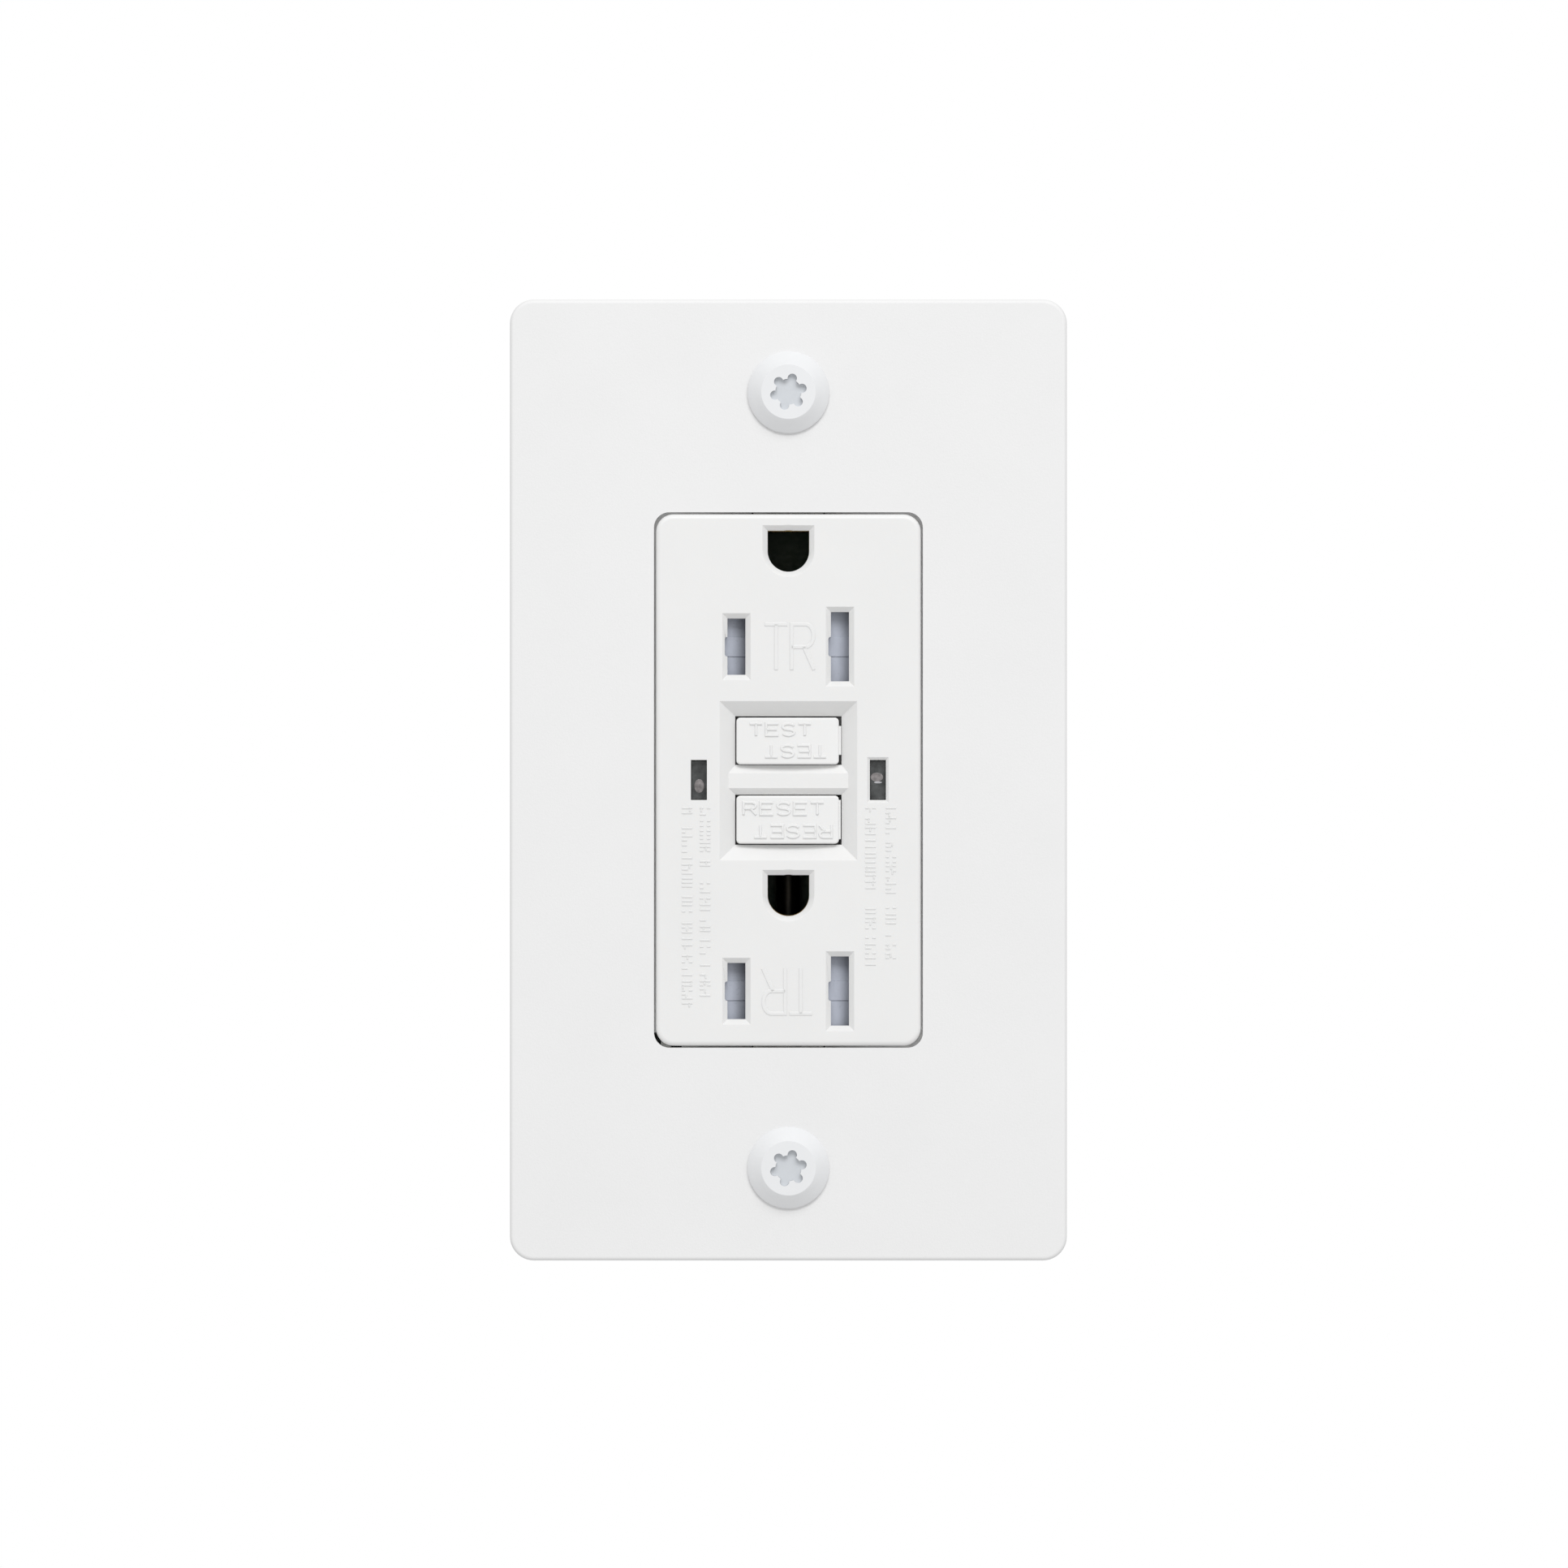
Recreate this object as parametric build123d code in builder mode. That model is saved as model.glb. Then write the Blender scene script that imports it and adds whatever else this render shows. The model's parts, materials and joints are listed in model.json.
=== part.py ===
"""Duplex tamper-resistant GFCI outlet with its metal wall plate.

Millimetres, X right and Z up as seen from the room, -Y out of the wall.
The wall surface is y = 0 and the origin is the middle of the wall plate.
Hot parts lie at -X (side -1), neutral parts at +X (side +1); the line side is up.
"""

import os

from build123d import *

# wall plate
PLATE_W = 69.6
PLATE_H = 120.1
PLATE_DEPTH = 5.8
PLATE_SKIN = 1.6
PLATE_RIM = 2.0
PLATE_R = 3.0
OPENING_W = 33.6
OPENING_H = 66.9
OPENING_R = 1.9
PLATE_SCREW_Z = 48.42
PLATE_SCREW_HEAD_R = 5.1
PLATE_SCREW_TOP_R = 3.4
PLATE_SCREW_RIM = 0.45
PLATE_SCREW_CONE = 1.85
DRIVER_DEPTH = 1.15

# device body
FACE_W = 33.1
FACE_H = 66.4
FACE_R = 2.2
FACE_Y = -6.2
FACE_SKIN = 2.0
BODY_W = 42.4
BODY_H = 70.4
BODY_R = 1.6
FLANGE_Y = 0.4
FLANGE_SKIN = 1.8
SPLIT_Y = 9.0
BODY_BACK_Y = 28.5
BODY_FLOOR = 1.8
CAVITY_X = 19.4
CAVITY_Z = 33.4
NOTCH_X = 13.4
NOTCH_Z = 31.7
HOUSING_SCREWS = [(x, z) for x in (-16.6, 16.6) for z in (-26.4, 26.4)]

# outlets
OUTLET_Z = (16.66, -26.38)
GROUND_RISE = 11.96
BLADE_X = 6.4
HOT_SLOT = (-7.62, -5.37, 3.52)
NEUTRAL_SLOT = (5.31, 7.57, 4.33)
GROUND_PIN_R = 2.6
GROUND_TOP = 2.54
BARREL_R = 3.1
BARREL_BACK_Y = 7.4
SLOT_BEVEL = 0.65

# buttons and indicator windows
RECESS_DEPTH = 1.8
RECESS_FLOOR_Y = FACE_Y + RECESS_DEPTH
GUIDE_BACK_Y = -2.0
TEST_Z = 4.93
TEST_PIN_Y = 7.7
RESET_Z = -4.95
BUTTON_X = -0.1
BUTTON_W = 12.8
BUTTON_EDGE_Y = -5.3
BUTTON_CROWN = 0.6
WINDOW_X = 11.18
WINDOW_HALF_W = 1.0
WINDOW_HALF_H = 2.5
LENS_FIT = 0.06

# strap
STRAP_T = 1.4
STRAP_BACK_Y = -0.1
STRAP_END_Z = 53.0
BOX_SCREW_Z = 41.67
THREAD_6_32_R = 1.7525
ROOT_6_32_R = 1.42
NECK_R = 1.5

# contacts and mechanism
BAR_FRONT_Y = 8.0
BAR_T = 0.8
ARM_Y = 10.9
ARM_T = 0.6
CONTACT_X = 3.2
CONTACT_Z = -1.0
RIVET_R = 1.3
PIN_R = 1.5
PIN_FIT = 0.08
LATCH_Y = 16.6
LATCH_T = 0.8
TOROID_Z = 16.0
TOROID_BORE_R = 3.0
TOROID_TUBE_R = 3.7
TOROID_DISC_R = 8.7
TOROID_BACK_Y = 23.2
SOLENOID_Y = 18.0
BOARD_Y = 24.0
BOARD_T = 1.6

# wire terminals
TERMINAL_Z = 16.0
TERMINAL_Y = 14.5
POCKET_X = 12.8
POCKET_HALF_Z = 6.3
POCKET_BACK_Y = 20.0
TERMINAL_T = 1.2
TERMINAL_SCREW_R = 2.0
TERMINAL_ROOT_R = 1.68
GROUND_SCREW_Y = 7.4
GROUND_SCREW_Z = -36.0
WIRE_HOLE_R = 1.5
WIRE_HOLE_X = 15.4
WIRE_HOLE_Z = 3.4


def level(y):
    """Plane facing the room at depth y."""
    return Plane.XZ.offset(-y)


def rect(x0, x1, z0, z1, mode=Mode.ADD):
    """Rectangle between two pairs of edges, in the active sketch."""
    with Locations(((x0 + x1) / 2, (z0 + z1) / 2)):
        Rectangle(x1 - x0, z1 - z0, mode=mode)


def side_rect(side, inner, outer, z0, z1, mode=Mode.ADD):
    """Rectangle given by its distances from the centre line on one side."""
    with Locations((side * (inner + outer) / 2, (z0 + z1) / 2)):
        Rectangle(outer - inner, z1 - z0, mode=mode)


def arch(spots, radius, mode=Mode.ADD):
    """Round-bottomed, square-topped outline of a ground pin hole, at each spot."""
    with Locations(*spots):
        Circle(radius, mode=mode)
    for x, z in spots:
        rect(x - radius, x + radius, z, z + radius, mode=mode)


def sideways(side, distance, y, z):
    """Plane facing out of the device's side, at a distance from the centre line."""
    return Plane(origin=(side * distance, y, z), x_dir=(0, 1, 0), z_dir=(side, 0, 0))


# ---------------------------------------------------------------- wall plate
with BuildPart() as wall_plate:
    with BuildSketch(level(0)):
        RectangleRounded(PLATE_W, PLATE_H, PLATE_R)
    extrude(amount=PLATE_DEPTH)
    fillet(wall_plate.faces().sort_by(Axis.Y)[0].edges(), radius=0.5)
    with BuildSketch(level(0)):
        RectangleRounded(PLATE_W - 2 * PLATE_RIM, PLATE_H - 2 * PLATE_RIM, PLATE_R - PLATE_RIM)
    extrude(amount=PLATE_DEPTH - PLATE_SKIN, mode=Mode.SUBTRACT)
    with BuildSketch(level(0)):
        RectangleRounded(OPENING_W, OPENING_H, OPENING_R)
        with Locations((0, PLATE_SCREW_Z), (0, -PLATE_SCREW_Z)):
            Circle(2.1)
    extrude(amount=PLATE_DEPTH, mode=Mode.SUBTRACT)

with BuildPart() as plate_screws:
    screw_spots = [(0, PLATE_SCREW_Z), (0, -PLATE_SCREW_Z)]
    with BuildSketch(level(6.2)):
        with Locations(*screw_spots):
            Circle(ROOT_6_32_R)
    extrude(amount=6.2 + PLATE_DEPTH)
    with BuildSketch(level(-PLATE_DEPTH)):
        with Locations(*screw_spots):
            Circle(PLATE_SCREW_HEAD_R)
    extrude(amount=PLATE_SCREW_RIM)
    for spot in screw_spots:
        with BuildSketch(level(-PLATE_DEPTH - PLATE_SCREW_RIM)):
            with Locations(spot):
                Circle(PLATE_SCREW_HEAD_R)
        with BuildSketch(level(-PLATE_DEPTH - PLATE_SCREW_RIM - PLATE_SCREW_CONE)):
            with Locations(spot):
                Circle(PLATE_SCREW_TOP_R)
        loft()
    # six-lobe driver recess
    with BuildSketch(level(-PLATE_DEPTH - PLATE_SCREW_RIM - PLATE_SCREW_CONE + DRIVER_DEPTH)):
        with Locations(*screw_spots):
            Circle(1.62)
        for spot in screw_spots:
            with Locations(spot):
                with PolarLocations(1.74, 6, start_angle=14):
                    Circle(0.58)
    extrude(amount=DRIVER_DEPTH + 0.1, mode=Mode.SUBTRACT)

# --------------------------------------------------------------- front cover
with BuildPart() as front_cover:
    with BuildSketch(level(SPLIT_Y)):
        RectangleRounded(BODY_W, BODY_H, BODY_R)
    extrude(amount=SPLIT_Y - FLANGE_Y)
    with BuildSketch(level(FLANGE_Y)):
        RectangleRounded(FACE_W, FACE_H, FACE_R)
    extrude(amount=FLANGE_Y - FACE_Y)
    fillet(front_cover.faces().sort_by(Axis.Y)[0].edges(), radius=0.6)
    # hollow behind the flange and behind the face
    with BuildSketch(level(SPLIT_Y)):
        Rectangle(2 * CAVITY_X, 2 * CAVITY_Z)
        rect(-CAVITY_X, -NOTCH_X + 1.5, -CAVITY_Z, -NOTCH_Z + 1.6, mode=Mode.SUBTRACT)
    extrude(amount=SPLIT_Y - FLANGE_Y - FLANGE_SKIN, mode=Mode.SUBTRACT)
    with BuildSketch(level(FLANGE_Y + FLANGE_SKIN)):
        Rectangle(2 * 14.9, 2 * 31.7)
    extrude(amount=FLANGE_Y + FLANGE_SKIN - FACE_Y - FACE_SKIN, mode=Mode.SUBTRACT)
    # guide collar around both buttons
    with BuildSketch(level(GUIDE_BACK_Y)):
        rect(-9.4, 9.4, -10.9, 10.95)
    extrude(amount=GUIDE_BACK_Y - FACE_Y - FACE_SKIN + 0.1)
    # posts for the screws that come through from the back
    with BuildSketch(level(SPLIT_Y)):
        with Locations(*HOUSING_SCREWS):
            Circle(2.5)
    extrude(amount=SPLIT_Y - FLANGE_Y - 1.0)
    with BuildSketch(level(SPLIT_Y)):
        with Locations(*HOUSING_SCREWS):
            Circle(1.35)
    extrude(amount=6.0, mode=Mode.SUBTRACT)
    # end notches for the strap and the corner notch for the ground terminal
    with BuildSketch(level(SPLIT_Y)):
        rect(-4.6, 4.6, 31.5, 35.4)
        rect(-4.6, 4.6, -35.4, -31.5)
    extrude(amount=SPLIT_Y + 1.5, mode=Mode.SUBTRACT)
    with BuildSketch(level(SPLIT_Y)):
        rect(-BODY_W, -NOTCH_X, -BODY_H, -NOTCH_Z)
    extrude(amount=SPLIT_Y - FLANGE_Y, mode=Mode.SUBTRACT)
    # blade slots and ground holes, bevelled at the face
    with BuildSketch(level(-3.9)):
        for zc in OUTLET_Z:
            rect(HOT_SLOT[0], HOT_SLOT[1], zc - HOT_SLOT[2], zc + HOT_SLOT[2])
            rect(NEUTRAL_SLOT[0], NEUTRAL_SLOT[1], zc - NEUTRAL_SLOT[2], zc + NEUTRAL_SLOT[2])
            ground_z = zc + GROUND_RISE
            rect(-GROUND_PIN_R, GROUND_PIN_R, ground_z, ground_z + GROUND_TOP)
            with Locations((0, ground_z)):
                Circle(GROUND_PIN_R)
    extrude(amount=3.0, mode=Mode.SUBTRACT)
    face_openings = front_cover.faces().sort_by(Axis.Y)[0].inner_wires()
    chamfer([edge for wire in face_openings for edge in wire.edges()], length=SLOT_BEVEL)
    # small relief on the left edge of every blade slot
    with BuildSketch(level(-3.9)):
        for zc in OUTLET_Z:
            with Locations((HOT_SLOT[0], zc), (NEUTRAL_SLOT[0], zc)):
                RectangleRounded(0.64, 2.45, 0.3)
    extrude(amount=3.0, mode=Mode.SUBTRACT)
    # indicator windows
    with BuildSketch(level(-3.9)):
        with Locations((-WINDOW_X, 0), (WINDOW_X, 0)):
            Rectangle(2 * WINDOW_HALF_W, 2 * WINDOW_HALF_H)
    extrude(amount=3.0, mode=Mode.SUBTRACT)
    windows = [
        wire
        for wire in front_cover.faces().sort_by(Axis.Y)[0].inner_wires()
        if abs(wire.center().X) > WINDOW_X - WINDOW_HALF_W
    ]
    chamfer([edge for wire in windows for edge in wire.edges()], length=0.35)
    # button recess with sloping sides
    with BuildSketch(level(RECESS_FLOOR_Y)):
        rect(-6.65, 6.65, -8.1, 7.98)
    with BuildSketch(level(FACE_Y)):
        rect(-8.6, 8.6, -10.04, 9.85)
    loft(mode=Mode.SUBTRACT)
    # rib between the buttons
    with BuildSketch(Plane.YZ.offset(-8.0)):
        with BuildLine():
            Polyline(
                (RECESS_FLOOR_Y + 0.1, -1.84),
                (RECESS_FLOOR_Y, -1.84),
                (RECESS_FLOOR_Y - 0.77, -1.02),
                (RECESS_FLOOR_Y - 0.77, 0.85),
                (RECESS_FLOOR_Y, 1.88),
                (RECESS_FLOOR_Y + 0.1, 1.88),
                close=True,
            )
        make_face()
    extrude(amount=16.0)
    # button openings
    with BuildSketch(level(-1.5)):
        rect(-6.65, 6.65, 1.88, 7.98)
        rect(-6.65, 6.65, -8.1, -1.84)
    extrude(amount=3.2, mode=Mode.SUBTRACT)

# ----------------------------------------------------------- strap and ground
with BuildPart() as mounting_strap:
    with BuildSketch(level(STRAP_BACK_Y)):
        rect(-4.4, 4.4, -STRAP_END_Z + 4, STRAP_END_Z - 4)
        rect(-9.8, 9.8, -12.6, 12.6)
        with Locations((0, 44.2), (0, -44.2)):
            RectangleRounded(18.0, 17.6, 2.5)
        rect(-16.0, -8.0, -41.0, -35.4)
        rect(-7.9, 7.9, -10.2, 10.2, mode=Mode.SUBTRACT)
        with Locations((0, OUTLET_Z[0] + GROUND_RISE), (0, OUTLET_Z[1] + GROUND_RISE)):
            Rectangle(6.6, 6.4, mode=Mode.SUBTRACT)
        with Locations((0, BOX_SCREW_Z), (0, -BOX_SCREW_Z)):
            SlotOverall(6.6, 4.4, mode=Mode.SUBTRACT)
        with Locations((0, PLATE_SCREW_Z), (0, -PLATE_SCREW_Z)):
            Circle(THREAD_6_32_R, mode=Mode.SUBTRACT)
    extrude(amount=STRAP_T)
    # ground tab bent back beside the body, tapped for the ground screw
    with BuildSketch(Plane.YZ.offset(-16.0)):
        rect(STRAP_BACK_Y - STRAP_T, 2.6, -41.0, -35.4)
        rect(1.4, 12.5, -40.6, -31.9)
        with Locations((GROUND_SCREW_Y, GROUND_SCREW_Z)):
            Circle(TERMINAL_SCREW_R + 0.02, mode=Mode.SUBTRACT)
    extrude(amount=TERMINAL_T)

with BuildPart() as ground_contacts:
    ground_spots = [(0, zc + GROUND_RISE) for zc in OUTLET_Z]
    with BuildSketch(level(BARREL_BACK_Y)):
        arch(ground_spots, BARREL_R)
        arch(ground_spots, GROUND_PIN_R, mode=Mode.SUBTRACT)
    extrude(amount=BARREL_BACK_Y - 0.05)
    with BuildSketch(level(0.85)):
        with Locations(*[(x, z - 0.2) for x, z in ground_spots]):
            Rectangle(8.4, 7.2)
        arch(ground_spots, GROUND_PIN_R, mode=Mode.SUBTRACT)
    extrude(amount=0.8)
    # four spring fingers
    with BuildSketch(level(BARREL_BACK_Y + 0.1)):
        with Locations(*ground_spots):
            Rectangle(8.0, 0.6)
            Rectangle(0.6, 8.0)
    extrude(amount=5.0, mode=Mode.SUBTRACT)

BOX_HEAD_Y = STRAP_BACK_Y - STRAP_T - 0.05
with BuildPart() as box_screws:
    box_spots = [(0, BOX_SCREW_Z), (0, -BOX_SCREW_Z)]
    with BuildSketch(level(22.0)):
        with Locations(*box_spots):
            Circle(THREAD_6_32_R)
    extrude(amount=22.0 - 0.9)
    with BuildSketch(level(0.9)):
        with Locations(*box_spots):
            Circle(NECK_R)
    extrude(amount=0.9 - BOX_HEAD_Y)
    with BuildSketch(level(BOX_HEAD_Y)):
        with Locations(*box_spots):
            Circle(3.45)
    extrude(amount=2.0)
    fillet(box_screws.faces().sort_by(Axis.Y)[:2].edges(), radius=0.5)
    with BuildSketch(level(BOX_HEAD_Y - 1.0)):
        with Locations(*box_spots):
            Rectangle(7.2, 0.9)
    extrude(amount=1.5, mode=Mode.SUBTRACT)

with BuildPart() as screw_retainers:
    with BuildSketch(level(0.8)):
        with Locations(*box_spots):
            RectangleRounded(9.0, 8.0, 1.0)
            Circle(NECK_R + 0.05, mode=Mode.SUBTRACT)
    extrude(amount=0.75)

# ------------------------------------------------------------------ shutters
with BuildPart() as shutter_trays:
    with BuildSketch(level(-1.6)):
        for zc in OUTLET_Z:
            rect(-14.4, 8.6, zc - 5.15, zc + 5.15)
    extrude(amount=2.55)
    with BuildSketch(level(-2.4)):
        for zc in OUTLET_Z:
            rect(-13.6, 7.9, zc - 4.68, zc + 4.68)
    extrude(amount=1.8, mode=Mode.SUBTRACT)
    with BuildSketch(level(-1.5)):
        for zc in OUTLET_Z:
            rect(-8.2, -4.8, zc - 4.2, zc + 4.2)
            rect(4.8, 7.9, zc - 4.5, zc + 4.5)
    extrude(amount=2.0, mode=Mode.SUBTRACT)


def shutter(zc):
    """One slider that closes both blade slots and is pushed left by its ramps."""
    with BuildPart() as slider:
        with BuildSketch(level(-2.45)):
            rect(-9.3, 7.72, zc - 4.6, zc + 4.6)
            rect(-5.24, -2.54, zc - 3.75, zc + 3.75, mode=Mode.SUBTRACT)
        extrude(amount=1.65)
        for left, right, half in ((-7.9, -5.2, 3.75), (5.0, 7.8, 4.7)):
            with BuildSketch(Plane.XY.offset(zc - half)):
                with BuildLine():
                    Polyline((left, -4.3), (left, -4.1), (right, -3.1), (right, -4.3), close=True)
                make_face()
            extrude(amount=2 * half, mode=Mode.SUBTRACT)
            # the ramp is deeper on either side of its middle rib
            for low, high in ((-half, -1.225), (1.225, half)):
                with BuildSketch(Plane.XY.offset(zc + low)):
                    with BuildLine():
                        Polyline((left, -4.3), (left, -3.95), (right, -2.95), (right, -4.3), close=True)
                    make_face()
                extrude(amount=high - low, mode=Mode.SUBTRACT)
    return slider


upper_shutter = shutter(OUTLET_Z[0])
lower_shutter = shutter(OUTLET_Z[1])


def shutter_spring(zc):
    """Envelope of the coil spring between the tray wall and the slider."""
    with BuildPart() as spring:
        with BuildSketch(Plane(origin=(-13.55, -3.2, zc), x_dir=(0, 1, 0), z_dir=(1, 0, 0))):
            Circle(0.75)
            Circle(0.45, mode=Mode.SUBTRACT)
        extrude(amount=4.2)
    return spring


upper_shutter_spring = shutter_spring(OUTLET_Z[0])
lower_shutter_spring = shutter_spring(OUTLET_Z[1])


# ------------------------------------------------------------------- buttons
def button(z_mid, height, back_y, flange_low, flange_high):
    """Push button with a crowned front and a retaining flange behind the guide."""
    half_w = BUTTON_W / 2
    with BuildPart() as key:
        with BuildSketch(Plane.XY.offset(z_mid - height / 2)):
            with BuildLine():
                ThreePointArc(
                    (BUTTON_X - half_w, BUTTON_EDGE_Y),
                    (BUTTON_X, BUTTON_EDGE_Y - BUTTON_CROWN),
                    (BUTTON_X + half_w, BUTTON_EDGE_Y),
                )
                Polyline(
                    (BUTTON_X + half_w, BUTTON_EDGE_Y),
                    (BUTTON_X + half_w, back_y),
                    (BUTTON_X - half_w, back_y),
                    (BUTTON_X - half_w, BUTTON_EDGE_Y),
                )
            make_face()
        extrude(amount=height)
        fillet(key.edges().filter_by(Axis.Y), radius=0.5)
        fillet(key.faces().sort_by(Axis.Y)[0].edges(), radius=0.25)
        with BuildSketch(level(back_y + 1.0)):
            rect(BUTTON_X - half_w - 0.8, BUTTON_X + half_w + 0.8, flange_low, flange_high)
        extrude(amount=1.0)
    return key


with BuildPart() as test_button:
    add(button(4.87, 5.85, -1.95, 1.2, 8.6).part)
    with BuildSketch(level(1.5)):
        rect(-2.0, 1.8, 3.9, 6.0)
    extrude(amount=2.5)
    # lug that fills the gap beside the button
    with BuildSketch(level(-1.95)):
        rect(6.0, 6.6, 3.15, 6.75)
    extrude(amount=2.95)
    # narrow foot that presses the test blade
    with BuildSketch(level(4.08)):
        rect(-0.5, 0.3, 3.9, 6.0)
    extrude(amount=2.6)

with BuildPart() as reset_button:
    add(button(-4.96, 6.0, -1.1, -8.8, -1.2).part)
    with BuildSketch(level(-1.95)):
        rect(6.0, 6.54, -7.4, -2.5)
    extrude(amount=2.95)
    with BuildSketch(level(0)):
        with Locations((0, RESET_Z)):
            Circle(2.7)
            Circle(2.0, mode=Mode.SUBTRACT)
    extrude(amount=2.6, mode=Mode.SUBTRACT)
    with BuildSketch(level(0)):
        with Locations((0, RESET_Z)):
            Circle(PIN_R + 0.02)
    extrude(amount=3.5, mode=Mode.SUBTRACT)

with BuildPart() as reset_pin:
    with BuildSketch(level(LATCH_Y - 0.1)):
        with Locations((0, RESET_Z)):
            Circle(PIN_R)
    extrude(amount=LATCH_Y - 0.1 + 3.4)
    with BuildSketch(level(LATCH_Y + LATCH_T + 0.1)):
        with Locations((0, RESET_Z)):
            Circle(0.85)
    extrude(amount=LATCH_T + 0.2)
    with BuildSketch(level(19.6)):
        with Locations((0, RESET_Z)):
            Circle(PIN_R)
    extrude(amount=19.6 - LATCH_Y - LATCH_T - 0.1)
    chamfer(reset_pin.faces().sort_by(Axis.Y)[-1].edges(), length=0.7)

with BuildPart() as reset_spring:
    with BuildSketch(level(5.95)):
        with Locations((0, RESET_Z)):
            Circle(2.6)
            Circle(2.1, mode=Mode.SUBTRACT)
    extrude(amount=5.95 + 2.5)

with BuildPart() as light_pipes:
    for side in (-1, 1):
        with BuildSketch(Plane.XY.offset(-2.1)):
            with BuildLine():
                Polyline(
                    (side * WINDOW_X, -5.2),
                    (side * WINDOW_X, 0.6),
                    (side * 13.8, 4.6),
                    (side * 13.8, 21.0),
                )
            trace(line_width=1.7)
        extrude(amount=4.2)
        # lens that fills the window
        with BuildSketch(level(-3.2)):
            half_w = WINDOW_HALF_W - LENS_FIT
            half_h = WINDOW_HALF_H - LENS_FIT
            side_rect(side, WINDOW_X - half_w, WINDOW_X + half_w, -half_h, half_h)
        extrude(amount=2.0)

# -------------------------------------------------------------- middle frame
with BuildPart() as middle_frame:
    with BuildSketch(level(3.6)):
        Rectangle(38.4, 66.4)
        rect(-19.3, -11.7, -33.3, -29.9, mode=Mode.SUBTRACT)
    extrude(amount=1.2)
    # cells around the blade contacts
    with BuildSketch(level(7.8)):
        for side in (-1, 1):
            for zc in OUTLET_Z:
                side_rect(side, 2.9, 10.1, zc - 5.7, zc + 5.7)
                side_rect(side, 3.7, 9.3, zc - 4.9, zc + 4.9, mode=Mode.SUBTRACT)
    extrude(amount=4.3)
    # walls round the button shaft and the bridge that guides the reset pin
    with BuildSketch(level(7.4)):
        rect(-9.0, 9.0, -10.4, 10.4)
    extrude(amount=5.0)
    with BuildSketch(level(7.5)):
        rect(-8.2, 8.2, -9.6, 9.6)
    extrude(amount=5.2, mode=Mode.SUBTRACT)
    with BuildSketch(level(7.4)):
        rect(-8.3, 8.3, -8.4, -1.6)
    extrude(amount=1.4)
    # blocks that close the front of the wire pockets
    with BuildSketch(level(8.8)):
        for side in (-1, 1):
            for zc in (TERMINAL_Z, -TERMINAL_Z):
                side_rect(side, 14.6, 19.0, zc - 6.6, zc + 6.6)
    extrude(amount=5.3)
    # tabs that fill the cover's end notches behind the strap
    with BuildSketch(level(8.8)):
        rect(-4.4, 4.4, 32.2, 35.1)
        rect(-4.4, 4.4, -35.1, -32.2)
    extrude(amount=8.7)
    # openings in the partition
    with BuildSketch(level(3.7)):
        for side in (-1, 1):
            for zc in OUTLET_Z:
                side_rect(side, 4.6, 8.1, zc - 4.7, zc + 4.7)
            side_rect(side, WINDOW_X - 1.2, 15.6, -2.7, 2.7)
        arch(ground_spots, BARREL_R + 0.2)
        with Locations(*HOUSING_SCREWS):
            Circle(2.7)
    extrude(amount=1.4, mode=Mode.SUBTRACT)
    with BuildSketch(level(7.5)):
        with Locations((0, RESET_Z)):
            Circle(PIN_R + PIN_FIT)
    extrude(amount=1.6, mode=Mode.SUBTRACT)


# ------------------------------------------------------------ current paths
def busbar(side):
    """Blade contacts of both outlets, contact tongue and load terminal in one piece."""
    with BuildPart() as bar:
        with BuildSketch(level(BAR_FRONT_Y + BAR_T)):
            side_rect(side, 9.2, 12.2, -29.0, 13.3)
            side_rect(side, 3.6, 12.2, 11.26, 13.3)
            side_rect(side, 1.9, 9.3, -2.5, 0.5)
            side_rect(side, 12.1, 14.0, -19.0, -13.0)
            for zc in OUTLET_Z:
                side_rect(side, 3.6, 9.3, zc - 5.4, zc + 5.4)
                side_rect(side, 4.9, 7.9, zc - 4.5, zc + 4.5, mode=Mode.SUBTRACT)
        extrude(amount=BAR_T)
        # spring leaves on both sides of each blade
        for zc in OUTLET_Z:
            with BuildSketch(Plane.XY.offset(zc - 3.6)):
                with BuildLine():
                    Polyline((side * 8.6, 8.3), (side * 7.45, 5.3), (side * 8.25, 3.9))
                trace(line_width=0.5)
                with BuildLine():
                    Polyline((side * 4.2, 8.3), (side * 5.35, 5.3), (side * 4.55, 3.9))
                trace(line_width=0.5)
            extrude(amount=7.2)
        with BuildSketch(level(19.2)):
            side_rect(side, POCKET_X, POCKET_X + TERMINAL_T, -TERMINAL_Z - 5, -TERMINAL_Z + 5)
        extrude(amount=19.2 - BAR_FRONT_Y)
        with BuildSketch(sideways(side, POCKET_X - 0.1, TERMINAL_Y, -TERMINAL_Z)):
            Circle(TERMINAL_SCREW_R + 0.06)
        extrude(amount=TERMINAL_T + 0.2, mode=Mode.SUBTRACT)
    return bar


hot_busbar = busbar(-1)
neutral_busbar = busbar(1)

with BuildPart() as fixed_contacts:
    with BuildSketch(level(9.9)):
        with Locations((-CONTACT_X, CONTACT_Z), (CONTACT_X, CONTACT_Z)):
            Circle(RIVET_R)
    extrude(amount=9.9 - BAR_FRONT_Y - BAR_T)


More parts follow.
